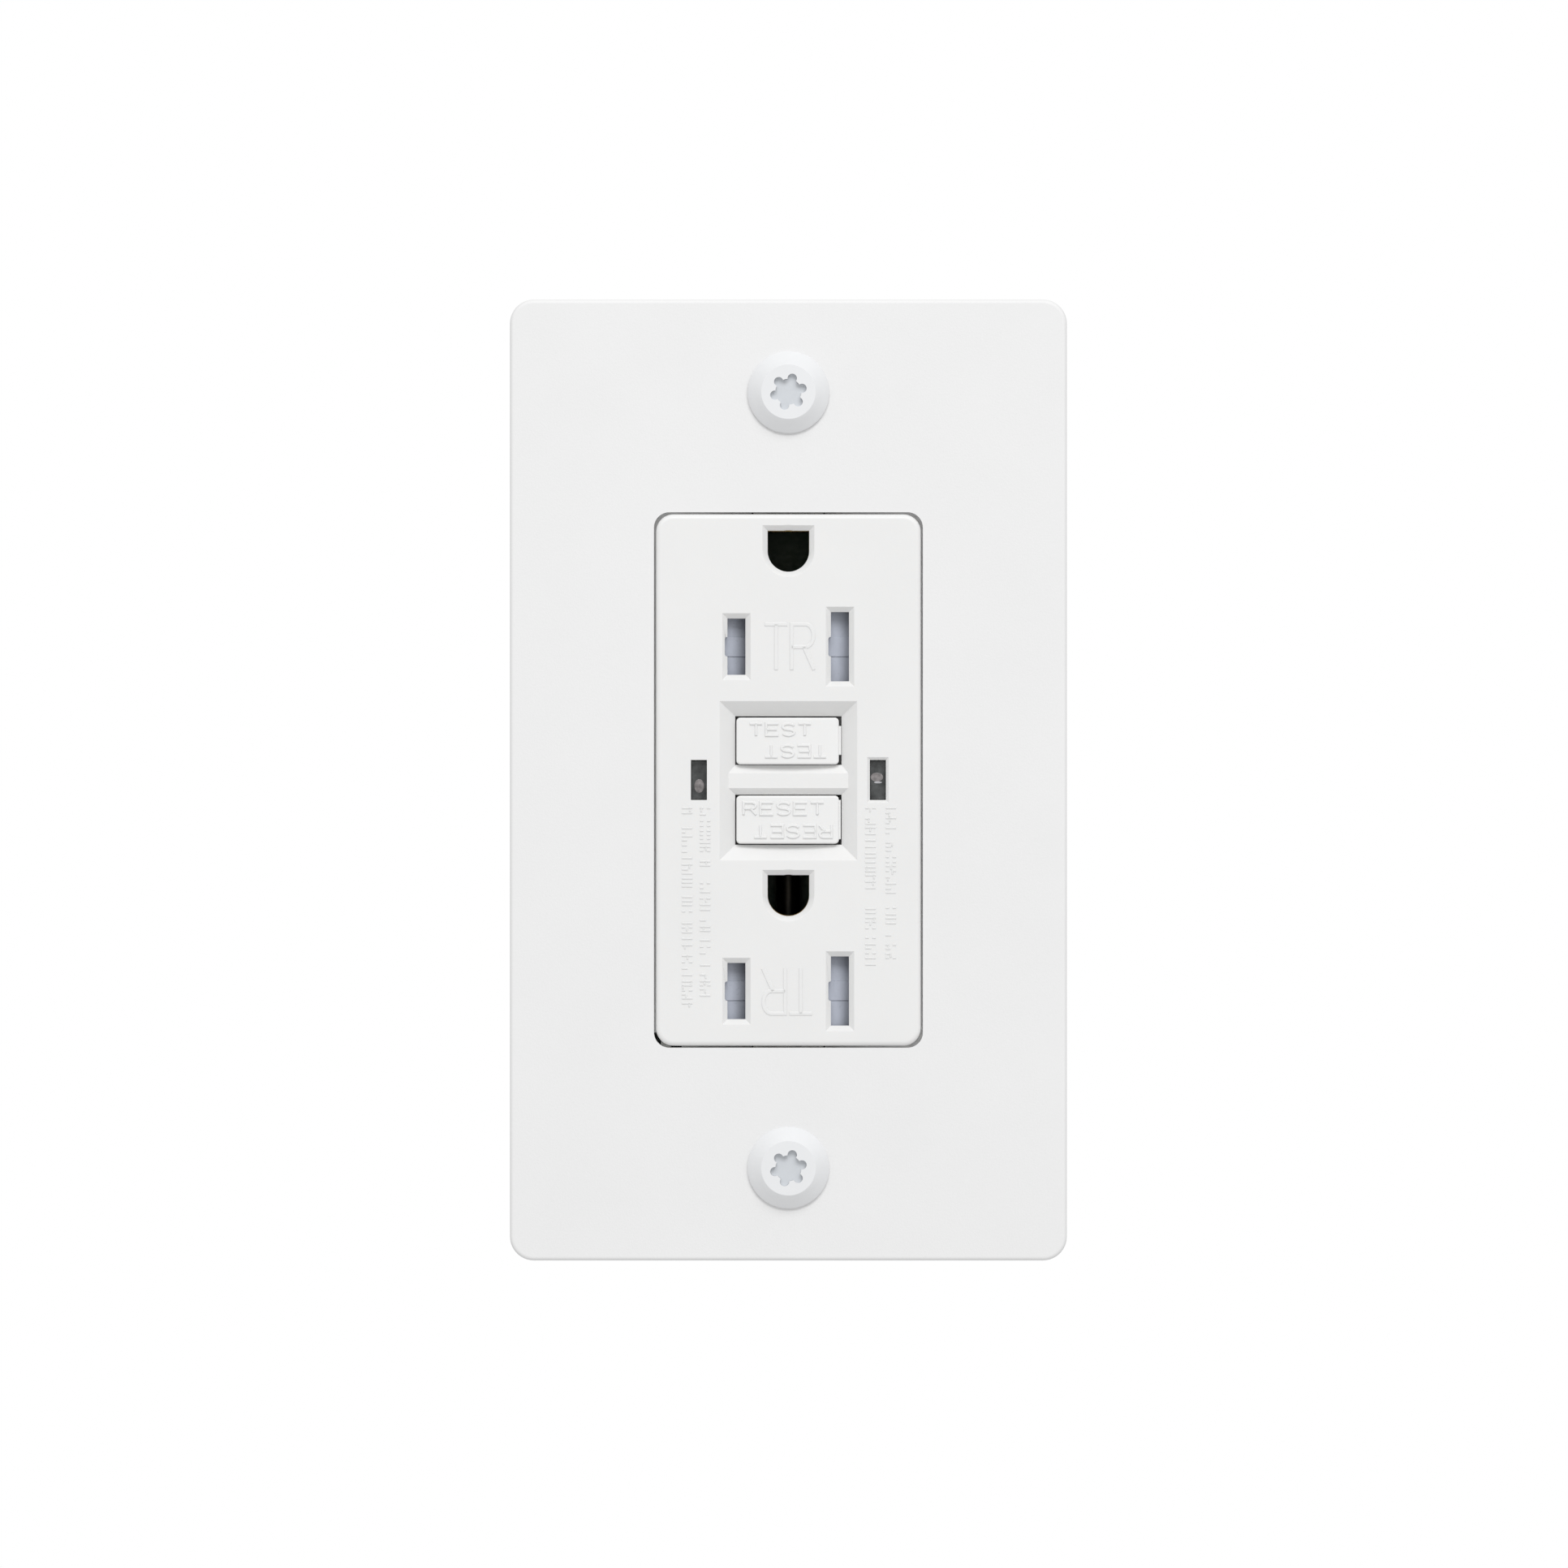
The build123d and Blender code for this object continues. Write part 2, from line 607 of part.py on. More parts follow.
def line_terminal(side):
    """Line terminal plate and the conductor that runs up through the sensing cores."""
    with BuildPart() as path:
        with BuildSketch(level(BAR_FRONT_Y + BAR_T)):
            side_rect(side, 9.7, POCKET_X + TERMINAL_T, 14.5, 19.5)
        extrude(amount=BAR_T)
        with BuildSketch(level(19.2)):
            side_rect(side, POCKET_X, POCKET_X + TERMINAL_T, TERMINAL_Z - 5, TERMINAL_Z + 5)
        extrude(amount=19.2 - BAR_FRONT_Y)
        with BuildSketch(level(BOARD_Y - 0.1)):
            side_rect(side, 9.7, 10.5, 14.5, 17.5)
        extrude(amount=BOARD_Y - 0.1 - BAR_FRONT_Y)
        with BuildSketch(level(BOARD_Y - 0.1)):
            side_rect(side, 1.1, 10.5, 14.6, 17.4)
        extrude(amount=0.6)
        with BuildSketch(level(BOARD_Y - 0.1)):
            side_rect(side, 1.1, 2.3, 14.6, 17.4)
        extrude(amount=BOARD_Y - 0.1 - ARM_Y)
        with BuildSketch(level(ARM_Y + ARM_T)):
            side_rect(side, 1.1, 4.5, 13.4, 17.4)
        extrude(amount=ARM_T)
        with BuildSketch(sideways(side, POCKET_X - 0.1, TERMINAL_Y, TERMINAL_Z)):
            Circle(TERMINAL_SCREW_R + 0.06)
        extrude(amount=TERMINAL_T + 0.2, mode=Mode.SUBTRACT)
    return path


line_hot_terminal = line_terminal(-1)
line_neutral_terminal = line_terminal(1)


def contact_arm(side):
    """Springy arm that swings its contact onto the busbar tongue."""
    with BuildPart() as arm:
        with BuildSketch(level(ARM_Y + ARM_T)):
            side_rect(side, 1.9, 4.5, -5.0, 3.0)
            side_rect(side, 2.3, 4.1, 3.0, 10.0)
            side_rect(side, 1.9, 4.5, 10.0, 13.2)
        extrude(amount=ARM_T)
    return arm


def arm_rivet(side):
    """Contact button on a contact arm."""
    with BuildPart() as rivet:
        with BuildSketch(level(ARM_Y)):
            with Locations((side * CONTACT_X, CONTACT_Z)):
                Circle(RIVET_R)
        extrude(amount=0.95)
        fillet(rivet.faces().sort_by(Axis.Y)[0].edges(), radius=0.2)
    return rivet


hot_contact_arm = contact_arm(-1)
neutral_contact_arm = contact_arm(1)
hot_arm_rivet = arm_rivet(-1)
neutral_arm_rivet = arm_rivet(1)

# ------------------------------------------------------------ trip mechanism
with BuildPart() as lifter:
    with BuildSketch(level(13.2)):
        rect(-4.9, 4.9, -8.6, -1.6)
    extrude(amount=13.2 - ARM_Y - ARM_T - 0.05)
    with BuildSketch(level(19.6)):
        rect(-3.6, 3.6, -8.6, -1.6)
    extrude(amount=6.4)
    fillet(lifter.edges().filter_by(Axis.Y), radius=0.4)
    with BuildSketch(level(19.7)):
        with Locations((0, RESET_Z)):
            Circle(PIN_R + PIN_FIT)
    extrude(amount=9.0, mode=Mode.SUBTRACT)
    with BuildSketch(level(LATCH_Y + LATCH_T + 0.1)):
        rect(-2.6, 2.6, -9.0, -1.0)
    extrude(amount=LATCH_T + 0.2, mode=Mode.SUBTRACT)

with BuildPart() as latch_plate:
    with BuildSketch(level(LATCH_Y + LATCH_T)):
        rect(-2.5, 2.5, -11.4, -0.6)
        rect(-0.95, 0.95, -6.85, RESET_Z, mode=Mode.SUBTRACT)
        with Locations((0, RESET_Z)):
            Circle(0.95, mode=Mode.SUBTRACT)
        with Locations((0, RESET_Z - 1.9)):
            Circle(1.65, mode=Mode.SUBTRACT)
    extrude(amount=LATCH_T)
    # bent end that the plunger strikes
    with BuildSketch(level(18.9)):
        rect(-2.0, 2.0, -11.5, -10.8)
    extrude(amount=3.3)

with BuildPart() as test_blade:
    with BuildSketch(level(4.5)):
        rect(-7.9, 6.9, 3.63, 6.23)
    extrude(amount=0.3)
    fillet(test_blade.edges().filter_by(Axis.Y), radius=0.6)

with BuildPart() as test_pins:
    with BuildSketch(level(BOARD_Y)):
        with Locations((-7.4, TEST_Z), (6.2, TEST_Z)):
            Circle(0.5)
    extrude(amount=BOARD_Y - TEST_PIN_Y)
    with BuildSketch(level(TEST_PIN_Y)):
        with Locations((-7.4, TEST_Z)):
            Circle(0.5)
    extrude(amount=3.0)

with BuildPart() as toroid_bobbin:
    with BuildSketch(level(TOROID_BACK_Y)):
        with Locations((0, TOROID_Z)):
            Circle(TOROID_TUBE_R)
            Circle(TOROID_BORE_R, mode=Mode.SUBTRACT)
    extrude(amount=10.5)
    for disc_back in (13.3, 18.2, TOROID_BACK_Y):
        with BuildSketch(level(disc_back)):
            with Locations((0, TOROID_Z)):
                Circle(TOROID_DISC_R)
                Circle(TOROID_BORE_R, mode=Mode.SUBTRACT)
        extrude(amount=0.6)


def toroid_core(back_y, front_y):
    """Ring core with its winding, wound to a plain ring."""
    with BuildPart() as core:
        with BuildSketch(level(back_y)):
            with Locations((0, TOROID_Z)):
                Circle(8.2)
                Circle(TOROID_TUBE_R + 0.1, mode=Mode.SUBTRACT)
        extrude(amount=back_y - front_y)
        fillet(core.edges(), radius=0.6)
    return core


sensing_core = toroid_core(17.5, 13.4)
grounded_neutral_core = toroid_core(22.5, 18.3)

# ------------------------------------------------------------------ solenoid
with BuildPart() as solenoid_bobbin:
    with BuildSketch(Plane.XY.offset(-27.0)):
        with Locations((0, SOLENOID_Y)):
            Circle(2.2)
    extrude(amount=9.0)
    for low in (-27.0, -18.7):
        with BuildSketch(Plane.XY.offset(low)):
            with Locations((0, SOLENOID_Y)):
                Circle(4.5)
        extrude(amount=0.7)
    with BuildSketch(Plane.XY.offset(-27.1)):
        with Locations((0, SOLENOID_Y)):
            Circle(PIN_R + PIN_FIT)
    extrude(amount=9.2, mode=Mode.SUBTRACT)

with BuildPart() as solenoid_coil:
    with BuildSketch(Plane.XY.offset(-26.25)):
        with Locations((0, SOLENOID_Y)):
            Circle(4.2)
            Circle(2.25, mode=Mode.SUBTRACT)
    extrude(amount=7.5)

with BuildPart() as solenoid_frame:
    with BuildSketch(Plane.XY.offset(-27.85)):
        rect(-4.6, 4.6, 13.4, 23.4)
    extrude(amount=10.7)
    with BuildSketch(Plane.XY.offset(-27.05)):
        rect(-4.7, 4.7, 13.3, 22.6)
    extrude(amount=9.1, mode=Mode.SUBTRACT)
    with BuildSketch(Plane.XY.offset(-28.0)):
        with Locations((0, SOLENOID_Y)):
            Circle(1.75)
    extrude(amount=11.0, mode=Mode.SUBTRACT)

with BuildPart() as solenoid_plunger:
    with BuildSketch(Plane.XY.offset(-30.8)):
        with Locations((0, SOLENOID_Y)):
            Circle(PIN_R)
    extrude(amount=30.8 - 11.6)
    chamfer(solenoid_plunger.faces().sort_by(Axis.Z)[-1].edges(), length=0.4)
    with BuildSketch(Plane.XY.offset(-31.8)):
        with Locations((0, SOLENOID_Y)):
            Circle(2.6)
    extrude(amount=1.0)

with BuildPart() as plunger_spring:
    with BuildSketch(Plane.XY.offset(-30.75)):
        with Locations((0, SOLENOID_Y)):
            Circle(2.4)
            Circle(1.85, mode=Mode.SUBTRACT)
    extrude(amount=2.85)

# --------------------------------------------------------------- electronics
with BuildPart() as circuit_board:
    with BuildSketch(level(BOARD_Y + BOARD_T)):
        rect(-10.9, 10.9, -33.0, 33.0)
        rect(-18.8, 18.8, -8.0, 8.0)
        rect(-13.4, 13.4, 24.0, 33.0)
        rect(-11.6, 13.4, -33.0, -24.0)
    extrude(amount=BOARD_T)

with BuildPart() as surge_varistor:
    with BuildSketch(Plane.XY.offset(27.2)):
        with Locations((6.6, 19.6)):
            Circle(4.0)
    extrude(amount=3.2)
    fillet(surge_varistor.edges().filter_by(GeomType.CIRCLE), radius=0.8)

with BuildPart() as film_capacitor:
    with BuildSketch(level(BOARD_Y - 0.2)):
        rect(-10.6, -2.9, 26.6, 31.6)
    extrude(amount=6.8)
    fillet(film_capacitor.edges(), radius=0.4)

with BuildPart() as electrolytic_capacitor:
    with BuildSketch(level(BOARD_Y - 0.1)):
        with Locations((16.9, 5.2)):
            Circle(1.9)
    extrude(amount=8.0)
    fillet(electrolytic_capacitor.faces().sort_by(Axis.Y)[0].edges(), radius=0.3)

with BuildPart() as controller_chip:
    with BuildSketch(level(BOARD_Y - 0.1)):
        rect(6.1, 10.1, -14.5, -9.5)
    extrude(amount=1.5)

with BuildPart() as trigger_thyristor:
    with BuildSketch(level(BOARD_Y - 1.6)):
        with Locations((-8.0, -13.0)):
            Circle(2.2)
        rect(-10.5, -5.5, -16.0, -14.4, mode=Mode.SUBTRACT)
    extrude(amount=4.4)
    with BuildSketch(level(BOARD_Y - 0.05)):
        with Locations((-9.2, -13.0), (-8.0, -13.0), (-6.8, -13.0)):
            Rectangle(0.45, 0.45)
    extrude(amount=1.6)

with BuildPart() as resistors:
    with BuildSketch(Plane.XY.offset(-3.2)):
        with Locations((-16.4, 22.8), (-18.4, 22.8)):
            Circle(0.8)
    extrude(amount=6.4)
    with BuildSketch(Plane.XY.offset(-4.6)):
        with Locations((-16.4, 22.8), (-18.4, 22.8)):
            Circle(0.3)
    extrude(amount=9.2)

with BuildPart() as indicator_leds:
    with BuildSketch(level(BOARD_Y - 0.1)):
        with Locations((-13.8, 0), (13.8, 0)):
            RectangleRounded(1.6, 3.2, 0.4)
    extrude(amount=2.6)


# ------------------------------------------------------------ wire terminals
def terminal_screw(side, zc):
    """Wire clamp screw, its axis across the device."""
    with BuildPart() as screw:
        with BuildSketch(sideways(side, 13.0, TERMINAL_Y, zc)):
            Circle(TERMINAL_ROOT_R)
        extrude(amount=5.3)
        with BuildSketch(sideways(side, 18.25, TERMINAL_Y, zc)):
            Circle(4.1)
        extrude(amount=2.5)
        rim = screw.faces().filter_by(Axis.X).sort_by(Axis.X)[-1 if side > 0 else 0]
        fillet(rim.edges(), radius=0.5)
        with BuildSketch(sideways(side, 19.55, TERMINAL_Y, zc)):
            Rectangle(9.0, 1.1)
            Rectangle(1.1, 4.4)
        extrude(amount=1.6, mode=Mode.SUBTRACT)
    return screw


def clamp_plate(side, zc):
    """Square plate under the screw head that presses the wire ends."""
    with BuildPart() as plate:
        with BuildSketch(sideways(side, 16.8, TERMINAL_Y, zc)):
            Rectangle(8.8, 10.6)
        extrude(amount=1.4)
        fillet(plate.edges().filter_by(Axis.X), radius=0.6)
        with BuildSketch(sideways(side, 16.7, TERMINAL_Y, zc)):
            Circle(TERMINAL_SCREW_R + 0.05)
        extrude(amount=1.6, mode=Mode.SUBTRACT)
    return plate


line_hot_screw = terminal_screw(-1, TERMINAL_Z)
line_hot_clamp = clamp_plate(-1, TERMINAL_Z)
line_neutral_screw = terminal_screw(1, TERMINAL_Z)
line_neutral_clamp = clamp_plate(1, TERMINAL_Z)
load_hot_screw = terminal_screw(-1, -TERMINAL_Z)
load_hot_clamp = clamp_plate(-1, -TERMINAL_Z)
load_neutral_screw = terminal_screw(1, -TERMINAL_Z)
load_neutral_clamp = clamp_plate(1, -TERMINAL_Z)

with BuildPart() as ground_screw:
    with BuildSketch(sideways(-1, 15.1, GROUND_SCREW_Y, GROUND_SCREW_Z)):
        Circle(TERMINAL_ROOT_R)
    extrude(amount=2.6)
    with BuildSketch(sideways(-1, 17.6, GROUND_SCREW_Y, GROUND_SCREW_Z)):
        Circle(3.9)
    extrude(amount=2.6)
    fillet(ground_screw.faces().sort_by(Axis.X)[0].edges(), radius=0.5)
    with BuildSketch(sideways(-1, 18.9, GROUND_SCREW_Y, GROUND_SCREW_Z)):
        Rectangle(8.4, 1.1)
        Rectangle(1.1, 4.4)
    extrude(amount=1.6, mode=Mode.SUBTRACT)

# -------------------------------------------------------------- rear housing
with BuildPart() as rear_housing:
    with BuildSketch(level(BODY_BACK_Y)):
        RectangleRounded(BODY_W, BODY_H, BODY_R)
    extrude(amount=BODY_BACK_Y - SPLIT_Y)
    chamfer(rear_housing.faces().sort_by(Axis.Y)[-1].edges(), length=0.8)
    with BuildSketch(level(BODY_BACK_Y - BODY_FLOOR)):
        rect(-11.2, 11.2, -CAVITY_Z, CAVITY_Z)
        rect(-CAVITY_X, CAVITY_X, -8.4, 8.4)
        rect(-CAVITY_X, CAVITY_X, 23.6, CAVITY_Z)
        rect(-CAVITY_X, CAVITY_X, -CAVITY_Z, -23.6)
        rect(-CAVITY_X, -NOTCH_X + 1.5, -CAVITY_Z, -NOTCH_Z + 1.6, mode=Mode.SUBTRACT)
    extrude(amount=BODY_BACK_Y - BODY_FLOOR - SPLIT_Y, mode=Mode.SUBTRACT)
    # corner posts and board rests
    with BuildSketch(level(BODY_BACK_Y - BODY_FLOOR)):
        with Locations(*HOUSING_SCREWS):
            Circle(3.1)
    extrude(amount=BODY_BACK_Y - BODY_FLOOR - SPLIT_Y)
    with BuildSketch(level(BODY_BACK_Y - BODY_FLOOR)):
        with Locations((-8, 30), (8, 30), (-8, -30), (8, -30), (-16, -5), (16, -5), (-16, 5), (16, 5)):
            Circle(1.2)
    extrude(amount=BODY_BACK_Y - BODY_FLOOR - BOARD_Y - BOARD_T)
    # wire pockets open to the sides
    with BuildSketch(level(POCKET_BACK_Y)):
        for side in (-1, 1):
            for zc in (TERMINAL_Z, -TERMINAL_Z):
                side_rect(side, POCKET_X, 22.0, zc - POCKET_HALF_Z, zc + POCKET_HALF_Z)
    extrude(amount=POCKET_BACK_Y - SPLIT_Y, mode=Mode.SUBTRACT)
    with BuildSketch(level(17.0)):
        rect(-BODY_W, -NOTCH_X, -BODY_H, -NOTCH_Z)
    extrude(amount=17.0 - SPLIT_Y, mode=Mode.SUBTRACT)
    # wire entry holes in the back
    with BuildSketch(level(BODY_BACK_Y)):
        with Locations((0, TERMINAL_Z), (0, -TERMINAL_Z)):
            with GridLocations(2 * WIRE_HOLE_X, 2 * WIRE_HOLE_Z, 2, 2):
                Circle(WIRE_HOLE_R)
    extrude(amount=BODY_BACK_Y - POCKET_BACK_Y, mode=Mode.SUBTRACT)
    # clearance for the tips of the terminal screws
    with BuildSketch(Plane.YZ.offset(-13.0)):
        with Locations((TERMINAL_Y, TERMINAL_Z), (TERMINAL_Y, -TERMINAL_Z)):
            Circle(2.3)
    extrude(amount=26.0, mode=Mode.SUBTRACT)
    # shallow panel for a label
    with BuildSketch(level(BODY_BACK_Y)):
        RectangleRounded(20.0, 44.0, 1.5)
    extrude(amount=0.3, mode=Mode.SUBTRACT)
    # screw holes with counterbores
    with BuildSketch(level(BODY_BACK_Y)):
        with Locations(*HOUSING_SCREWS):
            Circle(1.4)
    extrude(amount=BODY_BACK_Y - SPLIT_Y, mode=Mode.SUBTRACT)
    with BuildSketch(level(BODY_BACK_Y)):
        with Locations(*HOUSING_SCREWS):
            Circle(2.6)
    extrude(amount=BODY_FLOOR, mode=Mode.SUBTRACT)

with BuildPart() as housing_screws:
    with BuildSketch(level(BODY_BACK_Y - BODY_FLOOR)):
        with Locations(*HOUSING_SCREWS):
            Circle(1.3)
    extrude(amount=BODY_BACK_Y - BODY_FLOOR - 3.4)
    with BuildSketch(level(BODY_BACK_Y - 0.3)):
        with Locations(*HOUSING_SCREWS):
            Circle(2.4)
    extrude(amount=BODY_FLOOR - 0.35)
    with BuildSketch(level(BODY_BACK_Y)):
        with Locations(*HOUSING_SCREWS):
            Rectangle(3.0, 0.7)
            Rectangle(0.7, 3.0)
    extrude(amount=1.1, mode=Mode.SUBTRACT)

PIECES = {
    "wall_plate": wall_plate,
    "plate_screws": plate_screws,
    "front_cover": front_cover,
    "mounting_strap": mounting_strap,
    "ground_contacts": ground_contacts,
    "box_screws": box_screws,
    "screw_retainers": screw_retainers,
    "shutter_trays": shutter_trays,
    "upper_shutter": upper_shutter,
    "lower_shutter": lower_shutter,
    "upper_shutter_spring": upper_shutter_spring,
    "lower_shutter_spring": lower_shutter_spring,
    "test_button": test_button,
    "reset_button": reset_button,
    "reset_pin": reset_pin,
    "reset_spring": reset_spring,
    "light_pipes": light_pipes,
    "middle_frame": middle_frame,
    "hot_busbar": hot_busbar,
    "neutral_busbar": neutral_busbar,
    "fixed_contacts": fixed_contacts,
    "line_hot_terminal": line_hot_terminal,
    "line_neutral_terminal": line_neutral_terminal,
    "hot_contact_arm": hot_contact_arm,
    "neutral_contact_arm": neutral_contact_arm,
    "hot_arm_rivet": hot_arm_rivet,
    "neutral_arm_rivet": neutral_arm_rivet,
    "lifter": lifter,
    "latch_plate": latch_plate,
    "test_blade": test_blade,
    "test_pins": test_pins,
    "toroid_bobbin": toroid_bobbin,
    "sensing_core": sensing_core,
    "grounded_neutral_core": grounded_neutral_core,
    "solenoid_bobbin": solenoid_bobbin,
    "solenoid_coil": solenoid_coil,
    "solenoid_frame": solenoid_frame,
    "solenoid_plunger": solenoid_plunger,
    "plunger_spring": plunger_spring,
    "circuit_board": circuit_board,
    "surge_varistor": surge_varistor,
    "film_capacitor": film_capacitor,
    "electrolytic_capacitor": electrolytic_capacitor,
    "controller_chip": controller_chip,
    "trigger_thyristor": trigger_thyristor,
    "resistors": resistors,
    "indicator_leds": indicator_leds,
    "line_hot_screw": line_hot_screw,
    "line_hot_clamp": line_hot_clamp,
    "line_neutral_screw": line_neutral_screw,
    "line_neutral_clamp": line_neutral_clamp,
    "load_hot_screw": load_hot_screw,
    "load_hot_clamp": load_hot_clamp,
    "load_neutral_screw": load_neutral_screw,
    "load_neutral_clamp": load_neutral_clamp,
    "ground_screw": ground_screw,
    "rear_housing": rear_housing,
    "housing_screws": housing_screws,
}

os.makedirs("parts", exist_ok=True)
for name, piece in PIECES.items():
    piece.part.label = name
    export_step(piece.part, f"parts/{name}.step")
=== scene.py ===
import json
import math
import random

import bmesh
import bpy
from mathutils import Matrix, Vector


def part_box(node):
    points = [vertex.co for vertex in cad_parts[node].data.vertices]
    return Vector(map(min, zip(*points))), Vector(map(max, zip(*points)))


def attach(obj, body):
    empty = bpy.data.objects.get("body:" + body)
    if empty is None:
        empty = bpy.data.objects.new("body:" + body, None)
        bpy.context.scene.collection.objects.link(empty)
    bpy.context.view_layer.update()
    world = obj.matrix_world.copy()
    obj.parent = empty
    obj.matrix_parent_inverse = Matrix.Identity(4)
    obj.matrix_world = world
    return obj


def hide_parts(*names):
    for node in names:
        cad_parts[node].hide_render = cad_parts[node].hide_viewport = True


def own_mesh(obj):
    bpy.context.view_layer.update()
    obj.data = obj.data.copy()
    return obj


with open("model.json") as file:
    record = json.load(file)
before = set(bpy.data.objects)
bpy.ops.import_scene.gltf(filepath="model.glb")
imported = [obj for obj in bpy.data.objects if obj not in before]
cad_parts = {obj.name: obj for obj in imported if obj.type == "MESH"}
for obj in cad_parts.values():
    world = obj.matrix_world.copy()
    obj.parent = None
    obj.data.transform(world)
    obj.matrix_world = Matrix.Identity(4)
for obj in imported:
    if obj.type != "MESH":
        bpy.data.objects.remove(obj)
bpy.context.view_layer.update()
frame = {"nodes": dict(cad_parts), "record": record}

MM = 0.001
nodes = frame["nodes"]
scene = bpy.context.scene
MAT = {}


# ------------------------------------------------------------------ materials
NOISE_SPAN = (0.3, 0.7)  # most of a noise texture's values lie between these


def sideways_fade(tree, coord, tint, start, pitch, stops):
    """Multiply a colour by a grey ramp of painted shade that repeats along X, start and pitch in
    mm.
    """
    new, link = tree.nodes.new, tree.links.new
    split = new("ShaderNodeSeparateXYZ")
    link(coord, split.inputs[0])
    shift = new("ShaderNodeMath")
    shift.operation = "SUBTRACT"
    shift.inputs[1].default_value = start * MM
    link(split.outputs["X"], shift.inputs[0])
    scaled = new("ShaderNodeMath")
    scaled.operation = "DIVIDE"
    scaled.inputs[1].default_value = pitch * MM
    link(shift.outputs[0], scaled.inputs[0])
    part = new("ShaderNodeMath")
    part.operation = "FRACT"
    link(scaled.outputs[0], part.inputs[0])
    ramp = new("ShaderNodeValToRGB")
    while len(ramp.color_ramp.elements) < len(stops):
        ramp.color_ramp.elements.new(0.5)
    for element, (position, grey) in zip(ramp.color_ramp.elements, stops):
        element.position = position
        element.color = (grey, grey, grey, 1)
    link(part.outputs[0], ramp.inputs["Fac"])
    mix = new("ShaderNodeMix")
    mix.data_type = "RGBA"
    mix.blend_type = "MULTIPLY"
    mix.inputs["Factor"].default_value = 1.0
    link(tint, mix.inputs["A"])
    link(ramp.outputs["Color"], mix.inputs["B"])
    return mix.outputs["Result"]


def material(name, color, rough, metallic=0.0, **options):
    """Procedural surface: mottled colour, roughness breakup and a two-scale bump.

    mottle, grain and swell_scale are noise scales. bump and swell are heights in mm. fade, if
    given, multiplies the colour by a sideways ramp of painted shade.
    """
    var = options.get("var", 0.03)
    mottle = options.get("mottle", 260.0)
    grain = options.get("grain", 2600.0)
    bump = options.get("bump", 0.02)
    swell = options.get("swell", 0.0)
    rough_var = options.get("rough_var", 0.06)
    mat = bpy.data.materials.new(name)
    mat.use_nodes = True
    tree = mat.node_tree
    new, link = tree.nodes.new, tree.links.new
    shader = tree.nodes["Principled BSDF"]
    shader.inputs["Metallic"].default_value = metallic
    for key, value in options.get("shader", {}).items():
        shader.inputs[key].default_value = value
    coord = new("ShaderNodeTexCoord")
    stretch = new("ShaderNodeMapping")
    stretch.inputs["Scale"].default_value = options.get("stretch", (1, 1, 1))
    link(coord.outputs["Object"], stretch.inputs["Vector"])

    def noise(scale, detail):
        texture = new("ShaderNodeTexNoise")
        texture.inputs["Scale"].default_value = scale
        texture.inputs["Detail"].default_value = detail
        link(stretch.outputs["Vector"], texture.inputs["Vector"])
        return texture.outputs["Fac"]

    blotch = noise(mottle, 5.0)
    fine = noise(grain, 3.0)
    ramp = new("ShaderNodeValToRGB")
    low = [max(0.0, c * (1 - var)) for c in color]
    high = [min(1.0, c * (1 + var)) for c in color]
    for element, position, tone in zip(ramp.color_ramp.elements, NOISE_SPAN, (low, high)):
        element.position = position
        element.color = (*tone, 1)
    link(blotch, ramp.inputs["Fac"])
    tint = ramp.outputs["Color"]
    # painted shade: darken the colour with a grey ramp along X
    if "fade" in options:
        tint = sideways_fade(tree, coord.outputs["Object"], tint, *options["fade"])
    link(tint, shader.inputs["Base Color"])
    spread = new("ShaderNodeMapRange")
    spread.inputs["From Min"].default_value = NOISE_SPAN[0]
    spread.inputs["From Max"].default_value = NOISE_SPAN[1]
    spread.inputs["To Min"].default_value = rough - rough_var
    spread.inputs["To Max"].default_value = rough + rough_var
    link(fine, spread.inputs["Value"])
    link(spread.outputs["Result"], shader.inputs["Roughness"])
    relief = new("ShaderNodeBump")
    relief.inputs["Strength"].default_value = 0.5
    relief.inputs["Distance"].default_value = bump * MM
    link(fine, relief.inputs["Height"])
    last = relief
    if swell:
        wide = new("ShaderNodeBump")
        wide.inputs["Strength"].default_value = 0.6
        wide.inputs["Distance"].default_value = swell * MM
        link(noise(options.get("swell_scale", 700.0), 2.0), wide.inputs["Height"])
        link(relief.outputs["Normal"], wide.inputs["Normal"])
        last = wide
    link(last.outputs["Normal"], shader.inputs["Normal"])
    MAT[name] = mat
    return mat


def metal(name, color, rough, **options):
    options.setdefault("var", 0.06)
    options.setdefault("bump", 0.01)
    material(name, color, rough, 1.0, **options)


SOFT_SKIN = {
    "Subsurface Weight": 0.08,
    "Subsurface Scale": 0.0012,
    "Subsurface Radius": (1.0, 0.9, 0.8),
}
# Painted shade across one shutter pitch: darker where a cam sinks deeper into its slot, lighter
# on its flat.
SHUTTER_PAINTED_SHADE = ((0.0, 0.98), (0.03, 0.93), (0.06, 0.72), (0.105, 0.52), (0.45, 1.0),
                (0.54, 0.98), (0.61, 0.80))
GRAINED = {"stretch": (1, 1, 0.3), "rough_var": 0.08}

material("plate_paint", (0.80, 0.80, 0.80), 0.56, var=0.008, mottle=90, grain=3800,
         bump=0.030, swell=0.016, swell_scale=900)
material("screw_paint", (0.785, 0.793, 0.805), 0.36, var=0.01, grain=2600, bump=0.012,
         swell=0.012, swell_scale=700)
material("white_plastic", (0.80, 0.80, 0.795), 0.44, var=0.008, mottle=120, grain=5200,
         bump=0.010, shader=SOFT_SKIN)
material("button_plastic", (0.82, 0.82, 0.815), 0.40, var=0.008, mottle=150, grain=5200,
         bump=0.008, shader=SOFT_SKIN)
